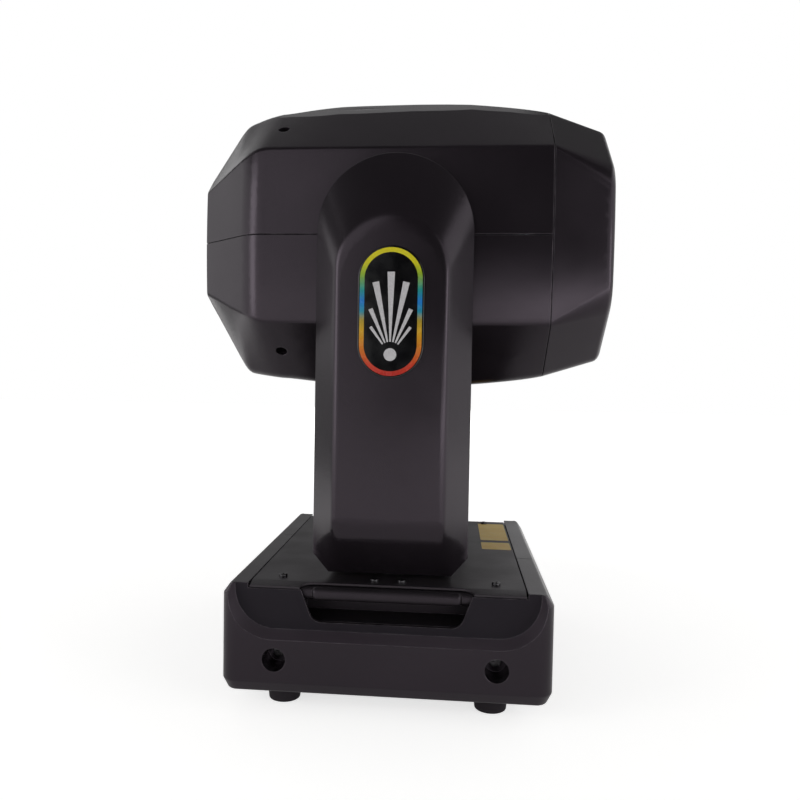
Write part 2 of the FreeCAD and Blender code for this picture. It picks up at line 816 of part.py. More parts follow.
def key_board():
    """Board behind the display panel, with a switch under each key and standoffs to the panel."""
    front = key_board_front
    corners = rectangle(display_half_length, window_half_height, panel_corner, (0, window_z))
    solids = [slab(corners, on_side(front - board_thickness), Vec(board_thickness, 0, 0))]
    half = key_switch_size / 2
    for y, z in key_places_on_side():
        solids.append(box((front, front + key_switch_height), (y - half, y + half), (z - half, z + half)))
    reach_y = display_half_length - 2 * standoff_radius
    reach_z = window_half_height - 2 * standoff_radius
    for y in (-reach_y, reach_y):
        for z in (window_z - reach_z, window_z + reach_z):
            solids.append(rod(standoff_radius, Vec(front, y, z),
                              Vec(panel_x - display_panel_thickness, y, z)))
    return fuse(solids)


def connector_panel():
    """Sheet behind the connector window, cut for the mains inlet and the two data sockets."""
    corners = rectangle(connector_half_length + panel_flange, window_half_height + panel_flange, panel_corner,
                        (0, window_z))
    panel = slab(corners, on_side(-panel_x), Vec(connector_sheet, 0, 0))
    inlet = rectangle(inlet_half_length - inlet_body_margin + set_gap,
                      inlet_half_height - inlet_body_margin + set_gap, panel_corner, (inlet_y, window_z))
    cuts = [slab(inlet, on_side(-panel_x - cut_over), Vec(connector_sheet + 2 * cut_over, 0, 0))]
    for y in (data_input_y, data_output_y):
        cuts.append(rod(data_body_radius + set_gap, Vec(-panel_x - cut_over, y, window_z),
                        Vec(-panel_x + connector_sheet + cut_over, y, window_z)))
    return panel.cut(cuts)


def power_inlet():
    """Mains inlet: flange, body, the socket with its three pins and a fuse drawer beside it."""
    flange = slab(rectangle(inlet_half_length, inlet_half_height, panel_corner, (inlet_y, window_z)),
                  on_side(-panel_x - inlet_flange), Vec(inlet_flange, 0, 0))
    body = slab(rectangle(inlet_half_length - inlet_body_margin, inlet_half_height - inlet_body_margin,
                          panel_corner, (inlet_y, window_z)), on_side(-panel_x), Vec(inlet_depth, 0, 0))
    centre_y = inlet_y + socket_offset
    front = -panel_x - inlet_flange
    socket = slab(rectangle(socket_half_length, socket_half_height, panel_corner, (centre_y, window_z)),
                  on_side(front - cut_over), Vec(socket_depth + cut_over, 0, 0))
    inlet = fuse([flange, body]).cut(socket)
    drawer_y = inlet_y - inlet_half_length / 2 - fuse_drawer_proud
    drawer = slab(rectangle(fuse_drawer_half_length, fuse_drawer_half_height, panel_corner / 2,
                            (drawer_y, window_z)),
                  on_side(front - fuse_drawer_proud), Vec(fuse_drawer_proud, 0, 0))
    floor = front + socket_depth
    pins = []
    for off_y, off_z in inlet_pins:
        y = centre_y + off_y
        z = window_z + off_z
        pins.append(box((floor - pin_length, floor), (y - inlet_pin_half_width, y + inlet_pin_half_width),
                        (z - inlet_pin_half_height, z + inlet_pin_half_height)))
    return fuse([inlet, drawer] + pins)


def data_socket(y, with_pins):
    """A round three-pole data connector on a flange: pins in a well, or a face with three holes."""
    flange = slab(rectangle(data_half_width, data_half_height, panel_corner / 2, (y, window_z)),
                  on_side(-panel_x - data_flange), Vec(data_flange, 0, 0))
    body = rod(data_body_radius, Vec(-panel_x, y, window_z), Vec(-panel_x + data_depth, y, window_z))
    front = -panel_x - data_flange
    socket = fuse([flange, body])
    poles = []
    for angle in data_pin_angles:
        py = y + data_pin_circle * math.cos(math.radians(angle))
        pz = window_z + data_pin_circle * math.sin(math.radians(angle))
        poles.append((py, pz))
    if not with_pins:
        holes = [rod(data_pin_radius, Vec(front - cut_over, py, pz), Vec(front + data_bore_depth, py, pz))
                 for py, pz in poles]
        groove = tube(data_bore_radius, data_bore_radius - data_pin_radius, Vec(front - cut_over, y, window_z),
                      Vec(front + data_flange, y, window_z))
        return socket.cut(holes + [groove])
    floor = front + data_bore_depth
    socket = socket.cut(rod(data_bore_radius, Vec(front - cut_over, y, window_z), Vec(floor, y, window_z)))
    pins = [rod(data_pin_radius, Vec(floor - pin_length, py, pz), Vec(floor, py, pz)) for py, pz in poles]
    return fuse([socket] + pins)


def pan_deck():
    """Bent-sheet deck over the base plate, with the bearing's boss and the pan motor's seat."""
    span_x = (-deck_rear, deck_front)
    solids = [box(span_x, (-deck_half_y, deck_half_y), (deck_z, deck_top))]
    for side in (-1, 1):
        leg = sorted((side * deck_half_y, side * (deck_half_y - deck_sheet)))
        foot = sorted((side * (deck_half_y - deck_sheet), side * deck_foot_y))
        solids.append(box(span_x, leg, (inside_z, deck_top)))
        solids.append(box(span_x, foot, (inside_z, inside_z + base_sheet)))
    boss_z = pan_bearing_z - pan_boss_lip
    solids.append(rod(pan_bearing_radius + pan_boss_wall, Vec(0, 0, boss_z), Vec(0, 0, deck_z)))
    deck = fuse(solids)
    cuts = [rod(pan_bearing_radius + fit_gap, Vec(0, 0, pan_bearing_z), Vec(0, 0, deck_top + cut_over)),
            rod(pan_bearing_radius - pan_boss_lip, Vec(0, 0, boss_z - cut_over), Vec(0, 0, deck_top)),
            rod(motor_pilot_radius + set_gap, Vec(pan_motor_x, 0, deck_z - cut_over),
                Vec(pan_motor_x, 0, deck_top + cut_over))]
    return deck.cut(cuts)


def ball_bearing(bore, radius, width):
    """A sealed ball bearing standing on the origin, with its two shield grooves."""
    ring = tube(radius, bore, ORIGIN, Vec(0, 0, width))
    middle = (bore + radius) / 2
    quarter = (radius - bore) / 4
    groove = tube(middle + quarter, middle - quarter, ORIGIN, Vec(0, 0, set_gap))
    return ring.cut([groove, moved(groove, Vec(0, 0, width - set_gap))])


def stepper():
    """A square motor with its mounting face on the origin, looking up, and a bore for its shaft."""
    half = motor_size / 2
    body = slab([(half, -half + motor_corner, 0), (half, half - motor_corner, 0),
                 (half - motor_corner, half, 0), (-half + motor_corner, half, 0),
                 (-half, half - motor_corner, 0), (-half, -half + motor_corner, 0),
                 (-half + motor_corner, -half, 0), (half - motor_corner, -half, 0)],
                on_level(-motor_length), Vec(0, 0, motor_length))
    pilot = rod(motor_pilot_radius, ORIGIN, Vec(0, 0, motor_pilot_height))
    bore = rod(motor_shaft_radius + running_gap, Vec(0, 0, -motor_shaft_depth),
               Vec(0, 0, motor_pilot_height + cut_over))
    return fuse([body, pilot]).cut(bore)


def flanged_pulley(radius, bore=0.0):
    """A belt pulley standing on the origin."""
    rim = rod(radius, ORIGIN, Vec(0, 0, pulley_width))
    flange = rod(radius + pulley_flange_rise, ORIGIN, Vec(0, 0, pulley_flange))
    pulley = fuse([rim, flange, moved(flange, Vec(0, 0, pulley_width - pulley_flange))])
    if bore > 0:
        pulley = pulley.cut(rod(bore, Vec(0, 0, -cut_over), Vec(0, 0, pulley_width + cut_over)))
    return pulley


def motor_pulley(radius, lift):
    """A motor's pulley on its shaft, with the motor's mounting face at the origin."""
    shaft = rod(motor_shaft_radius, Vec(0, 0, -motor_shaft_depth + set_gap), Vec(0, 0, lift + pulley_width))
    return fuse([moved(flanged_pulley(radius), Vec(0, 0, lift)), shaft])


def belt(radius_a, radius_b, span):
    """A belt round a pulley at the origin and one at the span along X, standing on the pulleys' foot."""
    faces = []
    for grow in (set_gap, set_gap + belt_thickness):
        a = radius_a + grow
        b = radius_b + grow
        lean = math.acos((a - b) / span)
        cos, sin = math.cos(lean), math.sin(lean)
        low = pulley_flange + pulley_side_gap
        upper_a, upper_b = Vec(a * cos, a * sin, low), Vec(span + b * cos, b * sin, low)
        lower_a, lower_b = Vec(a * cos, -a * sin, low), Vec(span + b * cos, -b * sin, low)
        edges = [Part.LineSegment(upper_a, upper_b).toShape(),
                 Part.Arc(upper_b, Vec(span + b, 0, low), lower_b).toShape(),
                 Part.LineSegment(lower_b, lower_a).toShape(),
                 Part.Arc(lower_a, Vec(-a, 0, low), upper_a).toShape()]
        faces.append(Part.Face(Part.Wire(edges)).extrude(Vec(0, 0, belt_width)))
    return faces[1].cut(faces[0])


def power_supply():
    """Caged switching supply on the base plate, with vent slots across its lid."""
    case = box(supply_x, supply_y, (inside_z, inside_z + supply_height))
    top = inside_z + supply_height
    step = (supply_x[1] - supply_x[0]) / (supply_slots + 1)
    cuts = []
    for index in range(supply_slots):
        x = supply_x[0] + step * (index + 1)
        cuts.append(box((x - supply_slot_width / 2, x + supply_slot_width / 2),
                        (supply_y[0] + supply_slot_margin, supply_y[1] - supply_slot_margin),
                        (top - base_sheet, top + cut_over)))
    return case.cut(cuts)


def board(x, y, low, lift, blocks):
    """A circuit board on four standoffs, carrying (x share, y share, length, width, height) blocks."""
    z = low + lift
    solids = [box(x, y, (z, z + board_thickness))]
    inset = 2 * standoff_radius
    for cx in (x[0] + inset, x[1] - inset):
        for cy in (y[0] + inset, y[1] - inset):
            solids.append(rod(standoff_radius, Vec(cx, cy, low), Vec(cx, cy, z)))
    for share_x, share_y, length, width, height in blocks:
        cx = x[0] + share_x * (x[1] - x[0])
        cy = y[0] + share_y * (y[1] - y[0])
        solids.append(box((cx - length / 2, cx + length / 2), (cy - width / 2, cy + width / 2),
                          (z + board_thickness, z + board_thickness + height)))
    return fuse(solids)


# Yoke


def pan_shaft():
    """Hollow shaft of the yoke, with the flange that carries the yoke's plate."""
    radius = pan_bearing_bore - running_gap
    low = pan_bearing_z - pan_boss_lip
    shaft = rod(radius, Vec(0, 0, low), Vec(0, 0, yoke_plate_z))
    flange = rod(shaft_flange_radius, Vec(0, 0, yoke_z), Vec(0, 0, yoke_plate_z))
    bore = rod(pan_shaft_bore, Vec(0, 0, low - cut_over), Vec(0, 0, yoke_plate_z + cut_over))
    return fuse([shaft, flange]).cut(bore)


def pan_pulley():
    """Large pulley on the pan shaft, with a hub down to the bearing and lightening holes."""
    bore = pan_bearing_bore - running_gap + fit_gap
    middle = (pan_bearing_bore + pan_pulley_radius) / 2
    pulley = moved(flanged_pulley(pan_pulley_radius), Vec(0, 0, pan_pulley_z))
    hub_z = pan_bearing_z + pan_bearing_width + set_gap
    hub = rod(pan_bearing_bore + pan_hub_wall, Vec(0, 0, hub_z), Vec(0, 0, pan_pulley_z))
    cuts = [rod(bore, Vec(0, 0, hub_z - cut_over), Vec(0, 0, yoke_z))]
    for index in range(pan_pulley_holes):
        angle = 2 * math.pi * index / pan_pulley_holes
        x = middle * math.cos(angle)
        y = middle * math.sin(angle)
        cuts.append(rod((pan_pulley_radius - pan_bearing_bore) / 4, Vec(x, y, pan_pulley_z - cut_over),
                        Vec(x, y, yoke_z)))
    return fuse([pulley, hub]).cut(cuts)


def yoke_plate():
    """Bent plate across the foot of the yoke, with tabs up to the two arm plates."""
    plate = box((-yoke_plate_half_x, yoke_plate_half_x), (-arm_joint_y, arm_joint_y),
                (yoke_plate_z, yoke_floor))
    solids = [plate]
    for side_y in (-1, 1):
        for side_x in (-1, 1):
            tab_x = sorted((side_x * yoke_plate_half_x, side_x * (yoke_plate_half_x - tab_width)))
            tab_y = sorted((side_y * arm_joint_y, side_y * (arm_joint_y - yoke_sheet)))
            solids.append(box(tab_x, tab_y, (yoke_floor, yoke_floor + tab_height)))
    return fuse(solids).cut(rod(pan_shaft_bore, Vec(0, 0, yoke_z), Vec(0, 0, yoke_floor + cut_over)))


def near_arm_plate():
    """Steel plate inside the near arm: tilt bearing, motor pilot and three lightening holes."""
    top = tilt_axis_z + arm_plate_half_x
    corners = [(arm_plate_half_x, yoke_plate_z, 0), (arm_plate_half_x, top, arm_plate_half_x),
               (-arm_plate_half_x, top, arm_plate_half_x), (-arm_plate_half_x, yoke_plate_z, 0)]
    plate = slab(corners, on_end(-arm_plate_y), Vec(0, yoke_sheet, 0))
    outside = -arm_plate_y - cut_over
    inside = -arm_joint_y + cut_over
    cuts = [rod(tilt_bearing_radius + fit_gap, Vec(0, outside, tilt_axis_z), Vec(0, inside, tilt_axis_z)),
            rod(motor_pilot_radius + set_gap, Vec(0, outside, tilt_motor_z), Vec(0, inside, tilt_motor_z))]
    for share in arm_plate_holes:
        z = tilt_motor_z + share * tilt_span
        cuts.append(rod(arm_plate_half_x / 2, Vec(0, outside, z), Vec(0, inside, z)))
    return plate.cut(cuts)


def arm_corners(inset):
    """The arm's outline as (x, z): a round top about the tilt axis and cut lower corners."""
    half = arm_half_width - inset
    low = yoke_z + inset
    cut = math.atan2(arm_corner_z, arm_corner_x)
    foot_x = half - arm_corner_x + inset * (1 - math.tan(cut / 2))
    side_z = low + arm_corner_z - inset * (1 - math.tan((math.pi / 2 - cut) / 2))
    return [(foot_x, low, 0), (half, side_z, 0),
            (half, tilt_axis_z + half, half), (-half, tilt_axis_z + half, half),
            (-half, side_z, 0), (-foot_x, low, 0)]


def face_corners(inset):
    """The outline of the arm's flat outer face, with the same corners in the same order."""
    half = face_half_width - inset
    low = yoke_z + face_rise + inset
    top = tilt_axis_z - face_drop + half
    return [(half - face_corner, low, 0), (half, low + face_corner, 0), (half, top, half),
            (-half, top, half), (-half, low + face_corner, 0), (-half + face_corner, low, 0)]


def arm_bevel_wire(share, y, inset):
    """The arm's outline at a share of the way from its rim to its flat face, on a plane facing along Y."""
    corners = []
    for rim, face in zip(arm_corners(inset), face_corners(inset)):
        corners.append([a + (b - a) * share for a, b in zip(rim, face)])
    return outline(corners, on_end(y))


def near_arm_cover():
    """Outer cover of the near arm: a straight rim, then bevels with soft edges up to the flat face."""
    rise = arm_half_width - face_half_width
    profile = [(0, -arm_joint_y, 0), (0, -arm_outline_y, arm_rim_radius),
               (rise, -arm_face_y, arm_face_radius), (rise + arm_face_radius, -arm_face_y, 0)]
    steps = soft_path(profile, arm_edge_steps)[:-1]
    skin = loft([arm_bevel_wire(in_from_rim / rise, y, 0) for in_from_rim, y in steps])
    hollow = loft([arm_bevel_wire(0, -arm_joint_y + cut_over, arm_wall),
                   arm_bevel_wire(0, -arm_outline_y, arm_wall),
                   arm_bevel_wire(1, -arm_face_y + arm_wall, arm_wall)])
    return skin.cut(hollow)


def bridge_corners(inset):
    """The bridge cover's arch as (x, z)."""
    low = yoke_z + set_gap
    half = bridge_half_low - inset
    high = bridge_half_high - inset
    top = bridge_top - inset
    return [(half, low, 0), (half, bridge_shoulder, bridge_radius), (high, top, bridge_radius),
            (-high, top, bridge_radius), (-half, bridge_shoulder, bridge_radius), (-half, low, 0)]


def bridge_doorway(y, depth):
    """The space inside the bridge cover, open below, for cutting."""
    corners = bridge_corners(bridge_wall)
    low = yoke_z - cut_over
    corners[0] = (corners[0][0], low, 0)
    corners[-1] = (corners[-1][0], low, 0)
    return slab(corners, on_end(y), Vec(0, depth, 0))


def bridge_cover():
    """Arched cover between the arms, open below and at both ends."""
    half = arm_inner_y - fit_gap
    arch = slab(bridge_corners(0), on_end(-half), Vec(0, 2 * half, 0))
    return arch.cut(bridge_doorway(-half - cut_over, 2 * (half + cut_over)))


def near_arm_liner():
    """Inner cover of the near arm, with the trunnion's hole and the doorway to the bridge."""
    liner = slab(arm_corners(0), on_end(-arm_joint_y), Vec(0, arm_liner, 0))
    hole = rod(tilt_bearing_radius + set_gap, Vec(0, -arm_joint_y - cut_over, tilt_axis_z),
               Vec(0, -arm_inner_y + cut_over, tilt_axis_z))
    return liner.cut([hole, bridge_doorway(-arm_joint_y - cut_over, arm_liner + 2 * cut_over)])


def tilt_bearings():
    """A bearing in each arm plate, with the flange that holds it."""
    solids = []
    bearing = turned(ball_bearing(tilt_bearing_bore, tilt_bearing_radius, tilt_bearing_width), 90, ALONG_X)
    near = moved(bearing, Vec(0, -arm_inner_y - tilt_bearing_setback, tilt_axis_z))
    holder = tube(bearing_flange_radius, tilt_bearing_radius + fit_gap, Vec(0, -arm_plate_y, tilt_axis_z),
                  Vec(0, -arm_plate_y - bearing_flange, tilt_axis_z))
    for angle in (0, 180):
        solids.append(turned(near, angle))
        solids.append(turned(holder, angle))
    return Part.makeCompound(solids)


def facing_near(shape, height):
    """Turns a piece standing on the origin so that it points at -Y from the near arm plate's inner face."""
    return moved(turned(shape, 90, ALONG_X), Vec(0, -arm_joint_y, height))


def tilt_belt():
    """Belt from the tilt motor up to the pulley on the trunnion."""
    loop = belt(tilt_pulley_radius, tilt_pinion_radius, tilt_span)
    flat = turned(turned(loop, 90, ALONG_X), 90, Vec(0, 1, 0))
    return moved(flat, Vec(0, -tilt_pulley_y, tilt_axis_z))


def arm_badge():
    """Pill-shaped domed badge on the near arm's face."""
    corners = rectangle(badge_half_width, badge_height / 2, badge_half_width,
                        (0, tilt_axis_z - badge_centre_drop))
    badge = slab(corners, on_end(-arm_face_y - badge_thickness), Vec(0, badge_thickness, 0))
    rim = [edge for edge in badge.Edges if abs(edge.CenterOfMass.y + arm_face_y + badge_thickness) < fit_gap]
    return badge.makeFillet(badge_edge, rim)


# Head


def half_width(x):
    """Half the head's width at a station along X."""
    rear = soft_ramp(side_break - x, side_break_soft)
    return head_half_width - rear - bezel_side_slope * max(x - bezel_seam, 0)


def half_height(x, side):
    """The head's height above the tilt axis at a station, or below it where side is -1."""
    past_crown = min(x - crown_rear_x, 0) ** 2
    if side > 0:
        rear = crown_rear * past_crown + top_break_slope * soft_ramp(top_break - x, top_break_soft)
    else:
        rear = crown_rear_low * past_crown + low_break_slope * soft_ramp(low_break - x, top_break_soft)
    front = crown_front * max(min(x, bezel_seam) - crown_front_x, 0) ** 2
    taper = 2 * crown_front * (bezel_seam - crown_front_x) + bezel_top_slope
    return head_half_height - rear - front - taper * max(x - bezel_seam, 0)


def side_points(wide, flat, soft):
    """A side's two creases and the bulge between them as (y, z, radius), from the lower crease up."""
    tangent = flat - soft / 2 - side_end
    lean = math.atan(tangent / side_crown)
    peak = side_crown / math.cos(lean) - side_crown
    crease = wide + peak - flat * math.tan(lean)
    return [(crease, -flat, soft), (wide + peak, 0, side_crown), (crease, flat, soft)]


def head_section(x, inset):
    """The head's eight-sided wire at a station, with its walls set in."""
    bezel = max(x - bezel_seam, 0)
    narrow = soft_ramp(flat_break - x, flat_break_soft)
    wide, high, low = half_width(x), half_height(x, 1), half_height(x, -1)
    flat = side_flat - side_flat_slope * narrow - bezel_flat_slope * bezel
    crest = top_flat - top_flat_slope * narrow - bezel_flat_slope * bezel / 2
    turn = math.atan2(wide - crest, (high + low) / 2 - flat)
    flat -= inset * math.tan(turn / 2)
    crest -= inset * math.tan((math.pi / 2 - turn) / 2)
    soft = crease_radius + bezel_crease_growth * bezel
    side = side_points(wide - inset, flat, soft)
    top = [(crest, high - inset, crest_radius), (-crest, high - inset, crest_radius)]
    bottom = [(-crest, inset - low, crest_radius), (crest, inset - low, crest_radius)]
    far_side = [(-y, z, radius) for y, z, radius in reversed(side)]
    corners = [(y, tilt_axis_z + z, radius) for y, z, radius in side + top + far_side + bottom]
    return outline(corners, on_side(x))


def even_stations(rear, front, count):
    """Evenly spaced stations along X, both ends included."""
    return [rear + (front - rear) * index / (count - 1) for index in range(count)]


def head_body(inset, rear, front):
    """The head behind the bezel with its walls set in: straight rear, soft break, long crown."""
    straight_end = top_break - top_break_soft
    break_end = flat_break + flat_break_soft
    stretches = [([rear, straight_end], True), (even_stations(straight_end, break_end, 9), False),
                 (even_stations(break_end, front, 8), False)]
    return fuse([loft([head_section(x, inset) for x in stations], ruled) for stations, ruled in stretches])


def bezel_body(inset, rear, front):
    """The straight-sided taper of the bezel between two stations."""
    return loft([head_section(rear, inset), head_section(front, inset)])


def well_axis(side_y, side_z):
    """Where a head screw's well opens on a chamfer, and the way into it."""
    wide = side_points(half_width(head_well_x), side_flat, crease_radius)[0][0]
    high = half_height(head_well_x, side_z)
    mouth = Vec(head_well_x, side_y * (wide + top_flat) / 2, tilt_axis_z + side_z * (side_flat + high) / 2)
    inward = Vec(0, -side_y * (high - side_flat), -side_z * (wide - top_flat)).normalize()
    return mouth, inward


def grille_corners(grow):
    """The rear opening's outline, or the grille plate's when grown by its lap."""
    return rectangle(grille_half_width + grow, grille_half_height + grow, grille_corner, (0, tilt_axis_z))


def head_shells():
    """Upper and lower shell, parted at the tilt axis, with wells, deck bosses and the rear opening."""
    front = bezel_seam - seam_gap / 2
    outer = head_body(0, head_rear, front)
    inner = head_body(head_wall, head_rear + head_wall, front + cut_over)
    shell = outer.cut(inner)
    reach = head_half_width + cut_over
    cuts = [rod(tilt_bearing_bore + trunnion_hole_gap, Vec(0, -reach, tilt_axis_z),
                Vec(0, reach, tilt_axis_z)),
            slab(grille_corners(-grille_lap), on_side(head_rear - cut_over),
                 Vec(head_wall + 2 * cut_over, 0, 0))]
    shell = shell.cut(cuts)
    halves = []
    length = (head_rear - cut_over, head_front)
    for side in (1, -1):
        levels = sorted((tilt_axis_z + side * seam_gap / 2, tilt_axis_z + side * 2 * head_half_height))
        half = shell.common(box(length, (-reach, reach), levels))
        extras = []
        holes = []
        for side_y in (-1, 1):
            mouth, inward = well_axis(side_y, side)
            floor = mouth + inward * head_well_depth
            extras.append(rod(head_well_radius + head_well_wall, mouth - inward * head_well_depth,
                              floor + inward * head_wall))
            holes.append(rod(head_well_radius, mouth - inward * head_well_depth, floor))
            holes.append(rod(screw_radius + fit_gap, floor, floor + inward * (head_wall + cut_over)))
            if side < 0:
                for x in boss_x:
                    extras.append(rod(boss_radius, Vec(x, side_y * boss_y, tilt_axis_z - head_half_height),
                                      Vec(x, side_y * boss_y, deck_low)))
        extras = [extra.common(outer) for extra in extras]
        halves.append(half.multiFuse(extras).cut(holes))
    return halves


def head_screws():
    """A screw at the bottom of each of the head's four wells."""
    screws = []
    screw = pan_head_screw(screw_head_radius, screw_head_height, screw_radius, screw_length)
    for side_z in (-1, 1):
        for side_y in (-1, 1):
            mouth, inward = well_axis(side_y, side_z)
            spin = FreeCAD.Rotation(Vec(0, 0, -1), inward)
            piece = screw.copy()
            piece.Placement = FreeCAD.Placement(mouth + inward * head_well_depth, spin)
            screws.append(piece)
    return Part.makeCompound(screws)


def front_bezel():
    """Front ring: tapered skin with a rounded rim, a collar into the shells and a ledge for the plate."""
    rear = bezel_seam + seam_gap / 2
    rim = soft_path([(rear, 0, 0), (head_front, 0, rim_radius), (head_front, bezel_wall, 0)], rim_steps)
    skin = loft([head_section(x, inset) for x, inset in rim[:-1]])
    skin = skin.cut(bezel_body(bezel_wall, rear - cut_over, head_front + cut_over))
    collar = bezel_body(sleeve_inset, rear - collar_length, rear)
    collar = collar.cut(bezel_body(bezel_wall, rear - collar_length - cut_over, rear + cut_over))
    ledge_x = front_plate_x + front_plate_sheet + set_gap
    ledge = bezel_body(bezel_wall / 2, ledge_x, ledge_x + ledge_thickness)
    ledge = ledge.cut(bezel_body(bezel_wall + ledge_depth, ledge_x - cut_over,
                                 ledge_x + ledge_thickness + cut_over))
    return fuse([skin, collar, ledge])


def front_plate():
    """Flat plate behind the bezel's ledge, with the opening for the aperture window."""
    x = front_plate_x
    plate = Part.Face(head_section(x + front_plate_sheet, bezel_wall + set_gap))
    plate = plate.extrude(Vec(-front_plate_sheet, 0, 0))
    hole = slab(rectangle(glass_half_width, glass_half_height, glass_corner, (0, tilt_axis_z)),
                on_side(x - cut_over), Vec(front_plate_sheet + 2 * cut_over, 0, 0))
    plate = plate.cut(hole)
    mouth = [edge for edge in plate.Edges if is_aperture_edge(edge)]
    return plate.makeChamfer(front_plate_sheet / 2, mouth)


def is_aperture_edge(edge):
    """Whether an edge of the front plate lies round its opening, on the front."""
    centre = edge.CenterOfMass
    in_width = abs(centre.y) < glass_half_width + cut_over
    in_height = abs(centre.z - tilt_axis_z) < glass_half_height + cut_over
    on_front = abs(edge.BoundBox.XMin - front_plate_x - front_plate_sheet) < fit_gap
    return in_width and in_height and on_front


def aperture_glass():
    """Clear window the beam leaves through, bonded behind the front plate."""
    corners = rectangle(glass_half_width + glass_lap, glass_half_height + glass_lap, glass_corner,
                        (0, tilt_axis_z))
    return slab(corners, on_side(front_plate_x), Vec(-glass_thickness, 0, 0))


def head_deck():
    """Flat plate across the head that carries everything in it."""
    return box(head_deck_x, (-trunnion_y, trunnion_y), (deck_low, deck_high))


def near_trunnion(end_y):
    """Bracket on the deck with the hollow shaft that turns in the near arm's bearing."""
    inside = trunnion_y - trunnion_plate
    top = tilt_axis_z + trunnion_top
    corners = [(trunnion_half_x, deck_high, 0), (trunnion_half_x, top, trunnion_top),
               (-trunnion_half_x, top, trunnion_top), (-trunnion_half_x, deck_high, 0)]
    plate = slab(corners, on_end(-trunnion_y), Vec(0, trunnion_plate, 0))
    foot = box((-trunnion_half_x, trunnion_half_x), (-inside, -inside + trunnion_foot),
               (deck_high, deck_high + trunnion_plate))
    flange = rod(trunnion_flange_radius, Vec(0, -trunnion_y, tilt_axis_z),
                 Vec(0, -trunnion_y - trunnion_flange, tilt_axis_z))
    shaft = rod(tilt_bearing_bore - running_gap, Vec(0, -trunnion_y, tilt_axis_z), Vec(0, -end_y, tilt_axis_z))
    bore = rod(trunnion_bore, Vec(0, -inside + cut_over, tilt_axis_z), Vec(0, -end_y - cut_over, tilt_axis_z))
    return fuse([plate, foot, flange, shaft]).cut(bore)


def laser_module():
    """Sealed optical block on the deck, with the port its beam leaves by."""
    block = box(laser_x, (-laser_half_y, laser_half_y), (deck_high, deck_high + laser_height))
    top = [edge for edge in block.Edges if edge.CenterOfMass.z > deck_high + laser_height - fit_gap]
    block = block.makeChamfer(laser_edge, top)
    port = tube(beam_port_radius, beam_port_radius / 2, Vec(laser_x[1], beam_y, beam_z),
                Vec(laser_x[1] + beam_port_length, beam_y, beam_z))
    return fuse([block, port])


def heat_sink():
    """Finned sink bolted under the deck below the laser module."""
    low = deck_low - sink_height
    block = box(sink_x, (-sink_half_y, sink_half_y), (low, deck_low))
    pitch = (2 * sink_half_y - sink_fin) / (sink_fins - 1)
    cuts = []
    for index in range(sink_fins - 1):
        y = -sink_half_y + sink_fin + index * pitch
        cuts.append(box((sink_x[0] - cut_over, sink_x[1] + cut_over), (y, y + pitch - sink_fin),
                        (low - cut_over, deck_low - sink_base)))
    return block.cut(cuts)


def driver_boards():
    """Laser driver and scanner driver, one on each side of the laser module."""
    left = board(board_x, board_y, deck_high, board_lift, driver_blocks)
    right = board(board_x, (-board_y[1], -board_y[0]), deck_high, board_lift, driver_blocks)
    return Part.makeCompound([left, right])


def rear_grille():
    """Louvred plate inside the rear opening."""
    plate = slab(grille_corners(0), on_side(grille_x), Vec(grille_thickness, 0, 0))
    clear = grille_half_height - grille_lap
    pitch = 2 * clear / grille_bars
    slots = []
    for index in range(grille_bars):
        z = tilt_axis_z - clear + pitch * (index + 0.5)
        slot = rectangle(grille_half_width - grille_lap - grille_bar, (pitch - grille_bar) / 2,
                         (pitch - grille_bar) / 2 - fit_gap, (0, z))
        slots.append(slab(slot, on_side(grille_x - cut_over), Vec(grille_thickness + 2 * cut_over, 0, 0)))
    return plate.cut(slots)


def fan_frame():
    """Square fan frame with the motor's seat on four struts and the pin the rotor runs on."""
    frame = slab(rectangle(fan_half, fan_half, fan_corner, (0, tilt_axis_z)), on_side(fan_x),
                 Vec(fan_thickness, 0, 0))
    front = fan_x + fan_thickness
    centre = Vec(fan_x, 0, tilt_axis_z)
    frame = frame.cut(rod(fan_bore, centre - ALONG_X, Vec(front + cut_over, 0, tilt_axis_z)))
    seat = rod(fan_hub_radius, Vec(front - fan_strut, 0, tilt_axis_z), Vec(front, 0, tilt_axis_z))
    pin = rod(fan_pin_radius, Vec(front - fan_strut - fan_pin_length, 0, tilt_axis_z),
              Vec(front, 0, tilt_axis_z))
    strut = box((front - fan_strut, front), (-fan_bore - cut_over, fan_bore + cut_over),
                (tilt_axis_z - fan_strut / 2, tilt_axis_z + fan_strut / 2))
    middle = Vec(0, 0, tilt_axis_z)
    struts = [turned(strut, angle, ALONG_X, middle) for angle in (45, 135)]
    return fuse([frame, seat, pin] + struts)


def fan_rotor():
    """Fan hub with pitched blades."""
    rear = fan_x + fan_thickness - fan_strut - set_gap
    middle = Vec(0, 0, tilt_axis_z)
    hub = rod(fan_hub_radius, Vec(rear - fan_hub_length, 0, tilt_axis_z), Vec(rear, 0, tilt_axis_z))
    tip = fan_bore - fan_blade_tip_gap
    centre_x = rear - fan_hub_length / 2
    blade = box((centre_x - fan_blade_thickness / 2, centre_x + fan_blade_thickness / 2),
                (-fan_blade_chord / 2, fan_blade_chord / 2),
                (tilt_axis_z + fan_hub_radius / 2, tilt_axis_z + tip + fan_blade_chord))
    blade = turned(blade, fan_blade_angle, UP, Vec(centre_x, 0, 0))
    swept = rod(tip, Vec(rear - fan_hub_length, 0, tilt_axis_z), Vec(rear, 0, tilt_axis_z))
    blade = blade.common(swept)
    blades = [turned(blade, 360 * index / fan_blades, ALONG_X, middle) for index in range(fan_blades)]
    rotor = fuse([hub] + blades)
    return rotor.cut(rod(fan_pin_radius + running_gap, Vec(rear - fan_pin_length - set_gap, 0, tilt_axis_z),
                         Vec(rear + cut_over, 0, tilt_axis_z)))


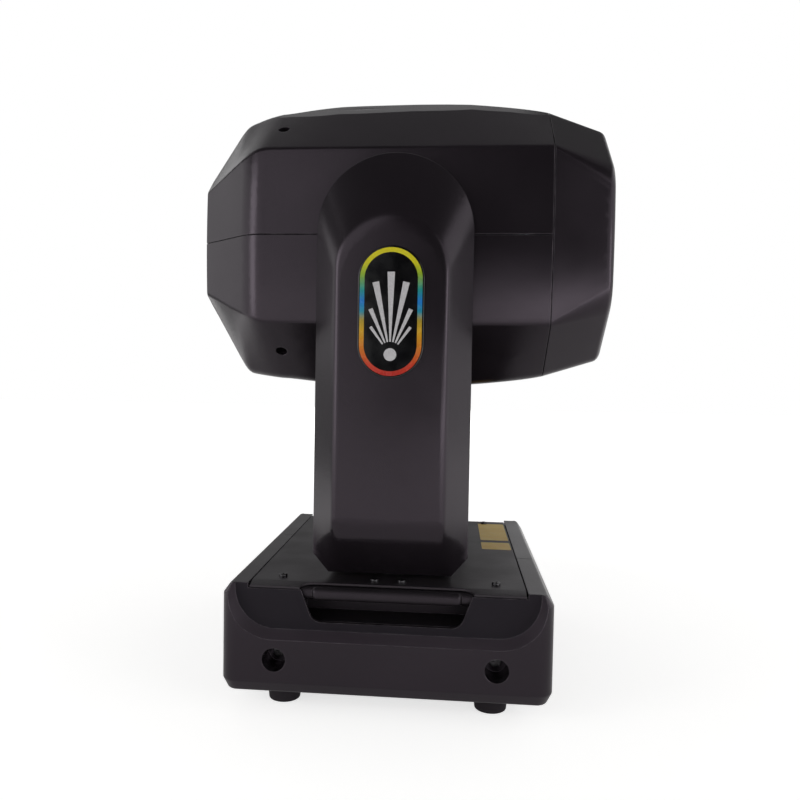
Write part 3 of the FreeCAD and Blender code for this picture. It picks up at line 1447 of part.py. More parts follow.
def scanner_mount():
    """Block on the deck that clamps the two galvanometer motors, one along X and one along Y."""
    wall = galvo_radius + galvo_block_wall
    x_back = mirror_x - galvo_stand - galvo_length
    y_front = galvo_stand
    x_block = (x_back + galvo_block_wall, x_back + galvo_block_wall + galvo_block_length)
    y_block = (y_front + galvo_block_wall, y_front + galvo_block_wall + galvo_block_length)
    foot = box((x_block[0], mirror_x + wall - galvo_block_wall), (-wall, y_block[1]),
               (deck_high, deck_high + galvo_foot))
    lower = box(x_block, (-wall, wall), (deck_high, beam_z + wall))
    upper = box((mirror_x - wall, mirror_x + wall - galvo_block_wall), y_block, (deck_high, tilt_axis_z + wall))
    x_motor = rod(galvo_radius, Vec(x_back, 0, beam_z), Vec(x_back + galvo_length, 0, beam_z))
    y_motor = rod(galvo_radius, Vec(mirror_x, y_front, tilt_axis_z),
                  Vec(mirror_x, y_front + galvo_length, tilt_axis_z))
    bore = mirror_shaft_radius + running_gap
    x_bore = rod(bore, Vec(mirror_x - galvo_stand - galvo_stand, 0, beam_z), Vec(mirror_x, 0, beam_z))
    y_bore = rod(bore, Vec(mirror_x, 0, tilt_axis_z), Vec(mirror_x, 2 * galvo_stand, tilt_axis_z))
    return fuse([foot, lower, upper, x_motor, y_motor]).cut([x_bore, y_bore])


def scan_mirror():
    """A mirror along X on its shaft, with its centre at the origin and its face at 45 degrees."""
    plate = box((-mirror_half_length, mirror_half_length), (-mirror_half_width, mirror_half_width),
                (-mirror_thickness / 2, mirror_thickness / 2))
    shaft = rod(mirror_shaft_radius, Vec(-2 * galvo_stand + set_gap, 0, 0),
                Vec(-mirror_half_length + cut_over, 0, 0))
    return turned(fuse([plate, shaft]), 45, ALONG_X)


# The whole projector


def all_parts():
    """Every piece in its place, by name."""
    near_cover, far_cover = base_covers()
    handle = near_handle()
    upper_shell, lower_shell = head_shells()
    arm_cover = near_arm_cover()
    arm_liner_piece = near_arm_liner()
    arm_plate = near_arm_plate()
    trunnion_reach = tilt_pulley_y + pulley_width + trunnion_end
    pan_motor_seat = Vec(pan_motor_x, 0, deck_z)
    tilt_lift = tilt_pulley_y - arm_joint_y
    tilt_wheel = flanged_pulley(tilt_pulley_radius, tilt_bearing_bore - running_gap + fit_gap)
    pieces = {
        "base_plate": base_plate(),
        "base_top_plate": top_plate(),
        "base_cover_near": near_cover,
        "base_cover_far": far_cover,
        "handle_near": handle,
        "handle_far": turned(handle),
        "base_screws": base_screws(),
        "rubber_feet": rubber_feet(),
        "display_panel": display_panel(),
        "display_window": display_window(),
        "key_board": key_board(),
        "connector_panel": connector_panel(),
        "power_inlet": power_inlet(),
        "data_input": data_socket(data_input_y, True),
        "data_output": data_socket(data_output_y, False),
        "power_supply": power_supply(),
        "control_board": board(control_x, control_y, inside_z, control_lift, control_blocks),
        "pan_deck": pan_deck(),
        "pan_bearing": moved(ball_bearing(pan_bearing_bore, pan_bearing_radius, pan_bearing_width),
                             Vec(0, 0, pan_bearing_z)),
        "pan_motor": moved(stepper(), pan_motor_seat),
        "pan_motor_pulley": moved(motor_pulley(pan_pinion_radius, pan_pulley_z - deck_z), pan_motor_seat),
        "pan_belt": moved(belt(pan_pulley_radius, pan_pinion_radius, pan_motor_x), Vec(0, 0, pan_pulley_z)),
        "pan_pulley": pan_pulley(),
        "pan_shaft": pan_shaft(),
        "yoke_plate": yoke_plate(),
        "arm_plate_near": arm_plate,
        "arm_plate_far": turned(arm_plate),
        "bridge_cover": bridge_cover(),
        "arm_cover_near": arm_cover,
        "arm_cover_far": turned(arm_cover),
        "arm_liner_near": arm_liner_piece,
        "arm_liner_far": turned(arm_liner_piece),
        "arm_badge": arm_badge(),
        "tilt_bearings": tilt_bearings(),
        "tilt_motor": facing_near(stepper(), tilt_motor_z),
        "tilt_motor_pulley": facing_near(motor_pulley(tilt_pinion_radius, tilt_lift), tilt_motor_z),
        "tilt_belt": tilt_belt(),
        "tilt_pulley": moved(facing_near(tilt_wheel, tilt_axis_z), Vec(0, -tilt_lift, 0)),
        "trunnion_near": near_trunnion(trunnion_reach),
        "trunnion_far": turned(near_trunnion(arm_plate_y + bearing_flange + trunnion_end)),
        "head_upper_shell": upper_shell,
        "head_lower_shell": lower_shell,
        "head_screws": head_screws(),
        "front_bezel": front_bezel(),
        "front_plate": front_plate(),
        "aperture_glass": aperture_glass(),
        "head_deck": head_deck(),
        "laser_module": laser_module(),
        "heat_sink": heat_sink(),
        "driver_boards": driver_boards(),
        "rear_grille": rear_grille(),
        "fan_frame": fan_frame(),
        "fan_rotor": fan_rotor(),
        "scanner_mount": scanner_mount(),
        "scan_mirror_x": moved(scan_mirror(), Vec(mirror_x, 0, beam_z)),
        "scan_mirror_y": moved(turned(scan_mirror(), -90), Vec(mirror_x, 0, tilt_axis_z)),
    }
    for index, (y, z) in enumerate(key_places_on_side()):
        pieces[f"menu_key_{index + 1}"] = menu_key(y, z)
    return pieces


os.makedirs("parts", exist_ok=True)
for name, shape in all_parts().items():
    shape.exportStep(f"parts/{name}.step")
    solids = shape.Solids
    print(f"{name}: {len(solids)} solid(s), {sum(solid.Volume for solid in solids) / 1000:.1f} cm3,"
          f" valid {shape.isValid()}")
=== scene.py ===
# %% [markdown]
# # A moving-head laser projector for the stage
# The projector stands on a low base. A yoke turns on the base, and a moulded head that throws the
# beam tilts between the yoke's two arms. The solids come from CAD and are loaded as a fixed frame.
# This lesson gives them smooth skins, finishes, a badge, labels and studio light.

# %% Load the frame
import json
import math

import bmesh
import bpy
from mathutils import Matrix, Vector


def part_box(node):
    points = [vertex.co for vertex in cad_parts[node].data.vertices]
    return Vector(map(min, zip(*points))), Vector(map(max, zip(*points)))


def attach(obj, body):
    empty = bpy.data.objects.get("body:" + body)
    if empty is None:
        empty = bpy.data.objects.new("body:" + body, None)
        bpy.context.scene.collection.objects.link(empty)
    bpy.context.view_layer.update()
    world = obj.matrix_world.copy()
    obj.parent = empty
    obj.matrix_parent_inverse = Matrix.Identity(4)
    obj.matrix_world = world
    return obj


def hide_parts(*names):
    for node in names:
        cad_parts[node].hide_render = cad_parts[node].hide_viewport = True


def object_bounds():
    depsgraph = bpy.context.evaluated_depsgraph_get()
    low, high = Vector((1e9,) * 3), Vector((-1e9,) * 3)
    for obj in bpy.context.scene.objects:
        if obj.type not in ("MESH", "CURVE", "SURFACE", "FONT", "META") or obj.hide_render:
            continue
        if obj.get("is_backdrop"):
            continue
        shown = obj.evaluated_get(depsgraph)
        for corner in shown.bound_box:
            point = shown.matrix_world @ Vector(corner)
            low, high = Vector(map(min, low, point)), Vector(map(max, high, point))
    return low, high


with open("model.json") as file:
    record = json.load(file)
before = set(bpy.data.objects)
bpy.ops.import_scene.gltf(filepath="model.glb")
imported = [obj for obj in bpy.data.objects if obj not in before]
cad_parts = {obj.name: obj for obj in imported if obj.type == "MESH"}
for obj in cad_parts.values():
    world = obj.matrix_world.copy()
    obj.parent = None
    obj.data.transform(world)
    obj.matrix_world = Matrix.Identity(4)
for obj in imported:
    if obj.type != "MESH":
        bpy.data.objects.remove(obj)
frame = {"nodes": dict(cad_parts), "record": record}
cad_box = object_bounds()
scene = bpy.context.scene
bodies = frame["record"]["behaviour"]["bodies"]
body_of = {node: body for body, nodes in bodies.items() for node in nodes}
slot_of = {row["node"]: row["material_slot"] for row in frame["record"]["subparts"]}
MM = 0.001

# %% [markdown]
# ## Two small tools for materials
# Colours are chosen as the hex codes that a screen shows, but light adds up in linear values, so
# one function converts them. Node trees could be built line by line. A single function that adds a
# node, sets it and links it keeps each material as short as its idea.

# %% Colour and nodes


def linear(code):
    """A hex colour as linear red, green, blue and alpha."""
    screen = [int(code[i:i + 2], 16) / 255 for i in (1, 3, 5)]
    return [c / 12.92 if c <= 0.04045 else ((c + 0.055) / 1.055) ** 2.4 for c in screen] + [1.0]


def add(tree, kind, inputs=None, **settings):
    """Adds a node; an input that is a socket is linked, and any other value is set."""
    node = tree.nodes.new("ShaderNode" + kind)
    for name, value in settings.items():
        setattr(node, name, value)
    for name, value in (inputs or {}).items():
        if isinstance(value, bpy.types.NodeSocket):
            tree.links.new(value, node.inputs[name])
        else:
            node.inputs[name].default_value = value
    return node


def new_material(name, **values):
    """A material, its tree, its shader with the plain values set, and its Object coordinates."""
    material = bpy.data.materials.new(name)
    material.use_nodes = True
    tree = material.node_tree
    shader = tree.nodes["Principled BSDF"]
    for key, value in values.items():
        shader.inputs[key.replace("_", " ")].default_value = value
    return material, tree, shader, add(tree, "TexCoord").outputs["Object"]


print("charcoal in linear light:", [round(c, 4) for c in linear("#2e2b2e")])

# %% [markdown]
# ## Patterns that many finishes share
# No real surface is quite even: its colour drifts in clouds, its gloss changes where it is handled,
# its skin has a grain, and its edges are round and rubbed. Scanned textures could show all this,
# but noise on the object's own coordinates needs no unwrapping and keeps its real size everywhere.

# %% Patterns
NOISE_LOW, NOISE_HIGH = 0.35, 0.65  # noise seldom leaves this range
FLAT_MATCH, EDGE_MATCH = 0.98, 0.85  # of the true normal with the softened one
RUB_PATCH = 9 * MM
LEAST_RUB = 0.2
EDGE_SAMPLES = 4


def speckled(tree, coords, size, low, high, detail=2.0):
    """Noise with a feature size in metres, as a socket that runs from low to high."""
    noise = add(tree, "TexNoise", {"Vector": coords, "Scale": 1 / size, "Detail": detail})
    spread = add(tree, "MapRange", {"Value": noise.outputs["Fac"], "From Min": NOISE_LOW,
                                    "From Max": NOISE_HIGH, "To Min": low, "To Max": high})
    return spread.outputs["Result"]


def clouded(tree, coords, size, dark, light, detail=2.0):
    """A colour that drifts between two hex codes in clouds of a size in metres, as a socket."""
    share = speckled(tree, coords, size, 0, 1, detail)
    shade = add(tree, "Mix", {0: share, 6: linear(dark), 7: linear(light)}, data_type="RGBA")
    return shade.outputs[2]


def grained(tree, shader, coords, size, depth, strength, detail=1.0, normal=None):
    """Gives the shader a grain of a size and a depth in metres, laid over any softened normals."""
    grain = {"Height": speckled(tree, coords, size, 0, 1, detail), "Distance": depth}
    under = {"Normal": normal} if normal else {}
    bump = add(tree, "Bump", grain | {"Strength": strength} | under)
    tree.links.new(bump.outputs["Normal"], shader.inputs["Normal"])


def rubbed_edges(tree, coords, radius):
    """Normals that turn softly round each edge, and the wear: none on flats, most on edges."""
    soft = add(tree, "Bevel", {"Radius": radius}, samples=EDGE_SAMPLES).outputs["Normal"]
    true = add(tree, "NewGeometry").outputs["Normal"]
    match = add(tree, "VectorMath", {0: soft, 1: true}, operation="DOT_PRODUCT").outputs["Value"]
    edge = add(tree, "MapRange", {"Value": match, "From Min": FLAT_MATCH, "From Max": EDGE_MATCH})
    patches = speckled(tree, coords, RUB_PATCH, LEAST_RUB, 1)
    wear = add(tree, "Math", {0: edge.outputs["Result"], 1: patches}, operation="MULTIPLY")
    return soft, wear.outputs[0]


def plain_finish(name, cloud, dark, light, drift, smooth, rough, detail=2.0, **values):
    """A material whose colour and roughness drift in clouds, each of a size in metres."""
    material, tree, shader, coords = new_material(name, **values)
    shade = clouded(tree, coords, cloud, dark, light, detail)
    tree.links.new(shade, shader.inputs["Base Color"])
    tree.links.new(speckled(tree, coords, drift, smooth, rough), shader.inputs["Roughness"])
    return material, tree, shader, coords


print("wear in patches of", round(RUB_PATCH / MM), "mm")

# %% [markdown]
# ## Moulded ABS
# The head, the arms and the base covers are injection-moulded ABS in a warm charcoal. The mould was
# spark-eroded, which leaves a fine, even grain. The grain could be modelled, but it is far too
# fine, so it is a bump. It is really about 0.15 mm across and would vanish at this distance, so it
# is drawn at 0.7 mm. Handling polishes the skin a little here and there, so the gloss drifts.

# %% Moulded ABS
EDGE_ROUND = 1.0 * MM
CLOUD, DRIFT = 80 * MM, 60 * MM  # over which the shade and the gloss change
POLISH = 0.06  # roughness that rubbing takes away
GRAIN_DEPTH, GRAIN_STRENGTH = 0.03 * MM, 0.35
# The rubbed edge colour is partly wear and partly a painted highlight, the thin light line along
# each rim.
SHEEN, RUBBED_AND_HIGHLIGHT_PLASTIC = "#ffedff", "#605c60"
ABS_IOR = 1.53


def moulded_plastic(name, dark, light, grain, smooth, rough, ior, shine=0.42):
    """Textured plastic: even colour, eroded grain, drifting gloss, polished edges paler from wear
    and painted highlight.
    """
    material, tree, shader, coords = new_material(
        name, IOR=ior, Specular_IOR_Level=shine, Specular_Tint=linear(SHEEN))
    edges, wear = rubbed_edges(tree, coords, EDGE_ROUND)
    shade = clouded(tree, coords, CLOUD, dark, light)
    # Edges are painted paler: partly wear, partly a painted highlight along the rims.
    worn = add(tree, "Mix", {0: wear, 6: shade, 7: linear(RUBBED_AND_HIGHLIGHT_PLASTIC)}, data_type="RGBA")
    tree.links.new(worn.outputs[2], shader.inputs["Base Color"])
    gloss = speckled(tree, coords, DRIFT, smooth, rough)
    polished = add(tree, "Math", {0: wear, 1: -POLISH, 2: gloss}, operation="MULTIPLY_ADD")
    tree.links.new(polished.outputs[0], shader.inputs["Roughness"])
    grained(tree, shader, coords, grain, GRAIN_DEPTH, GRAIN_STRENGTH, normal=edges)
    return material


# ABS reads as a soft charcoal sheen that shows broad highlights and no sharp reflections.
abs_charcoal = moulded_plastic("abs_spark_eroded_charcoal", "#191619", "#1d191d",
                               grain=0.7 * MM, smooth=0.21, rough=0.27, ior=ABS_IOR)
# In the hand scoop a coarser etch makes the plastic look flat, and it is painted darker as shade
# for the recess.
abs_scoop_painted_shade = moulded_plastic("abs_coarse_grain_painted_shade", "#131216", "#18171b",
                             grain=0.9 * MM, smooth=0.52, rough=0.60, ior=ABS_IOR, shine=0.22)
# The scoop's sill is painted paler, as painted light for the light that its sloping face catches.
abs_sill_painted_light = moulded_plastic("abs_painted_light_sill", "#3a343a", "#423c42",
                             grain=0.7 * MM, smooth=0.30, rough=0.40, ior=ABS_IOR)
# Glass-filled nylon is blacker and duller, because the fibres roughen the skin.
nylon_black = moulded_plastic("nylon_glass_filled_moulded", "#131113", "#181618",
                              grain=0.9 * MM, smooth=0.42, rough=0.50, ior=1.53)
print("plastics:", abs_charcoal.name, abs_scoop_painted_shade.name, abs_sill_painted_light.name, nylon_black.name)

# %% [markdown]
# ## Coated metal
# The base's top plate, the floor plate and the grilles are folded steel with a black powder coat,
# whose melted grains set with a faint orange peel of about 1.5 mm. Motor cases are sprayed, which
# gives a finer peel. It could be one flat satin black, but the peel is what breaks up a highlight.

# %% Coated metal
COAT_ROUND = 0.4 * MM
COAT_CLOUD, COAT_DRIFT = 70 * MM, 45 * MM
ROUGH_SPREAD = 0.04
PEEL_DEPTH, PEEL_STRENGTH = 0.1 * MM, 0.3
COAT_SHEEN, RUBBED_COAT = "#fff2ff", "#454345"


def coated_metal(name, dark, light, peel, rough):
    """Powder coat: satin colour over an orange-peel surface, worn paler along its edges."""
    material, tree, shader, coords = new_material(name, IOR=1.5, Specular_Tint=linear(COAT_SHEEN))
    edges, wear = rubbed_edges(tree, coords, COAT_ROUND)
    shade = clouded(tree, coords, COAT_CLOUD, dark, light)
    worn = add(tree, "Mix", {0: wear, 6: shade, 7: linear(RUBBED_COAT)}, data_type="RGBA")
    tree.links.new(worn.outputs[2], shader.inputs["Base Color"])
    gloss = speckled(tree, coords, COAT_DRIFT, rough - ROUGH_SPREAD, rough + ROUGH_SPREAD)
    tree.links.new(gloss, shader.inputs["Roughness"])
    grained(tree, shader, coords, peel, PEEL_DEPTH, PEEL_STRENGTH, normal=edges)
    return material


# Powder coat is a satin black whose highlights are slightly broken up.
powder_black = coated_metal("steel_powder_coated_black", "#201d20", "#252225", 1.5 * MM, 0.38)
# Sprayed enamel is thinner, darker and a little smoother.
motor_black = coated_metal("steel_sprayed_black", "#171718", "#1d1d1e", 0.8 * MM, 0.35)
print("coats:", powder_black.name, motor_black.name)

# %% [markdown]
# ## Plated, turned and milled metal
# Hidden brackets are zinc plated, pulleys are turned and the screws are blackened. Each way of
# working leaves its own marks. They could come from a different texture for each, but one noise
# that is stretched along the way of working gives clouds, rings, grain or die lines.

# %% Bare metal
EVEN = (1, 1, 1)
MARK_DEPTH, MARK_STRENGTH, MARK_DETAIL = 0.02 * MM, 0.25, 3.0


def bare_metal(name, dark, light, stretch, size, smooth, rough):
    """Bare metal whose marks of a given size are stretched along X, Y or Z by the three factors."""
    material, tree, shader, coords = new_material(name, Metallic=1.0)
    drawn = add(tree, "Mapping", {"Vector": coords, "Scale": stretch}).outputs["Vector"]
    shade = clouded(tree, drawn, size, dark, light, MARK_DETAIL)
    gloss = speckled(tree, drawn, size, smooth, rough, MARK_DETAIL)
    tree.links.new(shade, shader.inputs["Base Color"])
    tree.links.new(gloss, shader.inputs["Roughness"])
    grained(tree, shader, drawn, size, MARK_DEPTH, MARK_STRENGTH, MARK_DETAIL)
    return material


# Blackened screws are nearly lost on the plate, apart from the small glints on their rims.
screw_black = bare_metal("steel_black_oxide_screw", "#403f41", "#5a595b",
                         EVEN, 3 * MM, 0.24, 0.34)
# Plated sheet shows soft grey clouds some 12 mm across.
zinc_sheet = bare_metal("steel_zinc_plated_sheet", "#9a9a98", "#b4b4b0",
                        EVEN, 12 * MM, 0.32, 0.46)
# Ground bearing rings are shinier and more even than plated steel.
steel_ground = bare_metal("steel_ground_bearing", "#a2a3a5", "#b6b7b9",
                          EVEN, 0.8 * MM, 0.18, 0.28)
# Turned aluminium keeps fine tool marks, here 0.6 mm apart along the axis that the part turned on.
aluminium_turned = bare_metal("aluminium_turned", "#a9aaac", "#c2c3c4",
                              (0.2, 0.2, 1), 0.6 * MM, 0.24, 0.38)
# Rolled sheet is pale, with a fine grain along its length.
aluminium_rolled = bare_metal("aluminium_rolled_sheet", "#a3a5a7", "#bdbfc0",
                              (0.03, 1, 1), 1.0 * MM, 0.30, 0.44)
# Anodised fins are dark grey, with the long lines of the die.
aluminium_extruded = bare_metal("aluminium_extruded_anodised", "#4a4b4d", "#5a5b5d",
                                (0.04, 1, 1), 1.2 * MM, 0.32, 0.45)
# A milled block shows the short strokes of the cutter across it.
aluminium_milled = bare_metal("aluminium_milled_block", "#8e9093", "#a8aaac",
                              (1, 0.1, 1), 1.0 * MM, 0.26, 0.40)
# A vacuum-coated mirror is smooth enough to return the beam, so it has hardly any marks.
mirror_coat = bare_metal("glass_vacuum_coated_mirror", "#d8d9da", "#e2e3e4",
                         EVEN, 20 * MM, 0.02, 0.04)
print("metals:", screw_black.name, zinc_sheet.name, aluminium_turned.name, mirror_coat.name)

# %% [markdown]
# ## Rubber and small mouldings
# The feet and keys are moulded rubber, the belts are ribbed neoprene, and the sockets and the fan
# are moulded too. Each could have a recipe of its own, but they differ from the shells only in
# colour, grain and gloss, so the recipe for moulded plastic serves them all.

# %% Rubber and small mouldings
# Foot rubber is matt and hardly shows a highlight.
rubber_foot = moulded_plastic("rubber_moulded_foot", "#141314", "#1b1a1b",
                              grain=1.2 * MM, smooth=0.66, rough=0.80, ior=1.52)
# Silicone is a paler grey with a silky bloom.
rubber_key = moulded_plastic("silicone_rubber_key", "#3a383a", "#434143",
                             grain=0.8 * MM, smooth=0.52, rough=0.62, ior=1.42)
# Neoprene looks dry and dusty black.
rubber_belt = moulded_plastic("neoprene_belt", "#121212", "#1a1a1a",
                              grain=1.0 * MM, smooth=0.60, rough=0.72, ior=1.55)
# Sockets are a neutral black, a little glossier than the handles.
nylon_socket = moulded_plastic("nylon_moulded_socket", "#161617", "#1c1c1d",
                               grain=0.8 * MM, smooth=0.36, rough=0.46, ior=1.53)
# The fan's polyester is bluish black and satin.
fan_plastic = moulded_plastic("polyester_moulded_fan", "#111112", "#18181a",
                              grain=0.9 * MM, smooth=0.38, rough=0.50, ior=1.57)
print("mouldings:", rubber_foot.name, rubber_key.name, rubber_belt.name, fan_plastic.name)

# %% [markdown]
# ## Window, resin, boards and glass
# The display sits behind smoked acrylic, the badge is cast in black resin, and the beam leaves
# through coated glass. Circuit boards are glass-epoxy with a green solder mask over copper tracks.
# Tracks could be modelled one by one, but the boards are inside, so the borders of Voronoi cells
# stand for them, and a bump raises them a little.

# %% Window, resin, boards and glass
TRACK_CELL = 6 * MM
TRACK_EDGE, TRACK_END = 0.05, 0.12  # of a cell, from its border
TRACK_RISE, TRACK_STRENGTH = 0.05 * MM, 0.5
WAVE, WAVE_DEPTH, WAVE_STRENGTH = 14 * MM, 0.1 * MM, 0.2

# Smoked acrylic is nearly black and has a clear, glossy face.
acrylic, *_ = plain_finish("acrylic_smoked_window", 15 * MM, "#060708", "#0a0c0e",
                           8 * MM, 0.05, 0.09, IOR=1.49, Coat_Weight=0.6)
# Poured resin sets with a glassy, slightly wavy face, so the badge's field mirrors the room.
resin_black, tree, shader, coords = plain_finish("resin_poured_black", 20 * MM, "#08080a",
                                                 "#0d0d10", 9 * MM, 0.10, 0.16, IOR=1.54)
grained(tree, shader, coords, WAVE, WAVE_DEPTH, WAVE_STRENGTH)
# A coating leaves clear glass with a faint, cool tint and hardly any reflection.
glass, *_ = plain_finish("glass_anti_reflection_coated", 30 * MM, "#c9d3dc", "#d6dfe2",
                         25 * MM, 0.01, 0.03, IOR=1.52, Transmission_Weight=0.92)
# Solder mask is a satin dark green, and it is paler where it covers the raised tracks.
board, tree, shader, coords = new_material("glass_epoxy_green_mask", IOR=1.55)
cells = add(tree, "TexVoronoi", {"Vector": coords, "Scale": 1 / TRACK_CELL},
            distance="MANHATTAN", feature="DISTANCE_TO_EDGE").outputs["Distance"]
bare = add(tree, "MapRange", {"Value": cells, "From Min": TRACK_EDGE,
                              "From Max": TRACK_END}).outputs["Result"]
mask = add(tree, "Mix", {0: bare, 6: linear("#2f7a4a"), 7: linear("#17492c")}, data_type="RGBA")
tree.links.new(mask.outputs[2], shader.inputs["Base Color"])
tree.links.new(speckled(tree, coords, 10 * MM, 0.32, 0.42), shader.inputs["Roughness"])
relief = add(tree, "Bump", {"Height": bare, "Distance": -TRACK_RISE, "Strength": TRACK_STRENGTH})
tree.links.new(relief.outputs["Normal"], shader.inputs["Normal"])
print("other materials:", acrylic.name, resin_black.name, board.name, glass.name)

# %% [markdown]
# ## Smooth skins
# CAD hands its surfaces over as loose, flat triangles, which would show every facet of a moulded
# curve. Each node is copied, its triangles are welded, and edges sharper than a set angle stay
# crisp while the rest shade as one skin. Weighted normals keep the large flats flat beside their
# rounded edges. A subdivided remodel would be smoother still, but it would drift away from the
# measured solids.

# %% Skins for the CAD nodes
WELD = 0.01 * MM
CRISP = math.radians(32)
LARGE_FACES_LEAD = 100


def finish_piece(piece, material, body):
    """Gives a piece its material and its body."""
    piece.data.materials.clear()
    piece.data.materials.append(material)
    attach(piece, body)
    return piece


def skin(node, material):
    """A welded, smooth-shaded copy of a CAD node that stands for it."""
    mesh = frame["nodes"][node].data.copy()
    mesh.name = node + "_skin"
    if "custom_normal" in mesh.attributes:
        mesh.attributes.remove(mesh.attributes["custom_normal"])
    work = bmesh.new()
    work.from_mesh(mesh)
    bmesh.ops.remove_doubles(work, verts=work.verts, dist=WELD)
    work.to_mesh(mesh)
    work.free()
    mesh.shade_smooth()
    mesh.set_sharp_from_angle(angle=CRISP)
    piece = bpy.data.objects.new(node + "_skin", mesh)
    scene.collection.objects.link(piece)
    flats = piece.modifiers.new("flat faces stay flat", "WEIGHTED_NORMAL")
    flats.keep_sharp = True
    flats.weight = LARGE_FACES_LEAD
    finish_piece(piece, material, body_of[node])
    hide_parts(node)
    return piece


finish_of_slot = {
    "moulded_charcoal": abs_charcoal, "handle_black": nylon_black, "powder_black": powder_black,
    "screw_steel": screw_black, "foot_rubber": rubber_foot, "lens_dark": acrylic,
    "badge_gloss": resin_black, "key_rubber": rubber_key, "circuit_green": board,
    "socket_black": nylon_socket, "plate_zinc": zinc_sheet, "bearing_steel": steel_ground,
    "pulley_aluminium": aluminium_turned, "motor_black": motor_black, "belt_rubber": rubber_belt,
    "supply_aluminium": aluminium_rolled, "sink_aluminium": aluminium_extruded,
    "module_aluminium": aluminium_milled, "fan_black": fan_plastic, "aperture_clear": glass,
    "mirror_coat": mirror_coat,
}
skins = {node: skin(node, finish_of_slot[slot_of[node]]) for node in sorted(frame["nodes"])}
print(len(skins), "skins,", sum(len(piece.data.polygons) for piece in skins.values()), "triangles")

# %% [markdown]
# ## Facets along the head's upper crests
# Where the head's top meets each upper chamfer, the mould has one more long, shallow facet, which
# shows as a pale strip that runs out to the front. It could be a bevel along the crest, but the
# crest is already rounded in many short rows. So the skin is cut along the facet's plane, and all
# that stands above it is pressed down onto it. The line of the crest bends, so each facet has five
# planes.

# %% Crest facets
FACET_LEAN = math.radians(58)  # of a facet's normal, above the horizontal
FACET_LINE = [Vector(point) * MM for point in (  # from the rear to the front
    (-95, 46, 453.3), (-50, 46, 456.9), (10, 46, 458.1),
    (55, 46, 458.0), (85, 46, 455.6), (116, 46, 452.0))]
TOUCH = 0.002 * MM
up_slope = Vector((0, -math.sin(FACET_LEAN), math.cos(FACET_LEAN)))
planes = []
for flip in (Vector((1, -1, 1)), Vector((1, 1, 1))):
    for rear, front in zip(FACET_LINE, FACET_LINE[1:]):
        out = (front - rear).cross(up_slope).normalized() * flip
        planes.append((rear * flip, out * math.copysign(1, out.z)))


def above(vert, plane):
    """How far a point stands above a plane."""
    return (vert.co - plane[0]).dot(plane[1])


def facet_faces(work, plane):
    """The faces that lie in a plane."""
    return [face for face in work.faces
            if all(abs(above(vert, plane)) < TOUCH for vert in face.verts)]


shell = skins["head_upper_shell"].data
work = bmesh.new()
work.from_mesh(shell)
for plane in planes:
    bmesh.ops.bisect_plane(work, geom=work.verts[:] + work.edges[:] + work.faces[:],
                           dist=TOUCH / 2, plane_co=plane[0], plane_no=plane[1])
    for vert in work.verts:
        vert.co -= plane[1] * max(above(vert, plane), 0)
    bmesh.ops.dissolve_faces(work, faces=facet_faces(work, plane))
facets = {face for plane in planes for face in facet_faces(work, plane)}
for edge in work.edges:
    if len(facets.intersection(edge.link_faces)) == 1:
        edge.smooth = False
areas = sorted(round(face.calc_area() / MM ** 2) for face in facets)
print(len(facets), "facets along the crests, with areas in mm2:", areas)
work.to_mesh(shell)
work.free()

# %% [markdown]
# ## Soft chins under the arm covers
# At its lower end an arm's cover turns under in one soft fold over its whole width, like a chin,
# because the mould was blended by hand there. The solid has mitred bevels instead. A new surface
# could be drawn, but the skin's own points can be drawn in. They are too few, so the skin is first
# cut into rows and columns below the fold.

# %% Rows and columns
FOLD = 140 * MM  # the height at which a cover starts to turn under
ROWS, ROW_STEP = 12, 3 * MM
COLUMNS, COLUMN_STEP = 14, 4 * MM  # on each side of the middle
CUT_TOUCH = 0.001 * MM


def grid_below_fold(work):
    """Cuts the skin below the fold into rows and columns, so that it has points to move."""
    cuts = [(Vector((0, 0, FOLD - row * ROW_STEP)), Vector((0, 0, 1))) for row in range(ROWS)]
    cuts += [(Vector((column * COLUMN_STEP, 0, 0)), Vector((1, 0, 0)))
             for column in range(-COLUMNS, COLUMNS + 1)]
    for place, out in cuts:
        low = [face for face in work.faces if min(vert.co.z for vert in face.verts) < FOLD]
        rims = list({edge for face in low for edge in face.edges})
        corners = list({vert for edge in rims for vert in edge.verts})
        bmesh.ops.bisect_plane(work, geom=corners + rims + low, dist=CUT_TOUCH,
                               plane_co=place, plane_no=out)
    bmesh.ops.triangulate(work, faces=[face for face in work.faces if len(face.verts) > 3])
    work.normal_update()


print(ROWS, "rows and", 2 * COLUMNS + 1, "columns below", round(FOLD / MM), "mm")

# %% [markdown]
# ## Drawing the chins in
# How far the cover bulges along the fold is read from the skin itself. Below the fold that bulge
# shrinks to nothing at the rim. A straight ramp would leave a crease, so it starts slowly and only
# then runs straight. The inner wall steps back wherever the outer one comes too near.

# %% Chins
RIM = 108 * MM  # from the pan axis to the covers' rim
RIM_SLACK = 0.6 * MM  # a point this little inside the rim still counts
FOOT, FOOT_CORNER = 94 * MM, 108 * MM  # heights of the rim in the middle and at its corners
FOOT_HALF, COVER_HALF = 46 * MM, 58 * MM  # half widths of the rim's level part and of the cover
COVER_WALL = 2.2 * MM
SOFT_SHARE = 0.4  # of the way down, over which the fold turns
OUTER_LEAN = 0.15  # a point whose normal leans outwards by more is on the outer wall
ON_FOLD = 0.01 * MM


def chin_share(x, z):
    """How much of the bulge is left at a point: all of it at the fold, none on the rim."""
    corner = max(abs(x) - FOOT_HALF, 0) / (COVER_HALF - FOOT_HALF)
    rim = FOOT + (FOOT_CORNER - FOOT) * min(corner, 1)
    down = min(max((FOLD - z) / (FOLD - rim), 0), 1)
    turned = down * down / (2 * SOFT_SHARE) if down < SOFT_SHARE else down - SOFT_SHARE / 2
    return 1 - turned / (1 - SOFT_SHARE / 2)


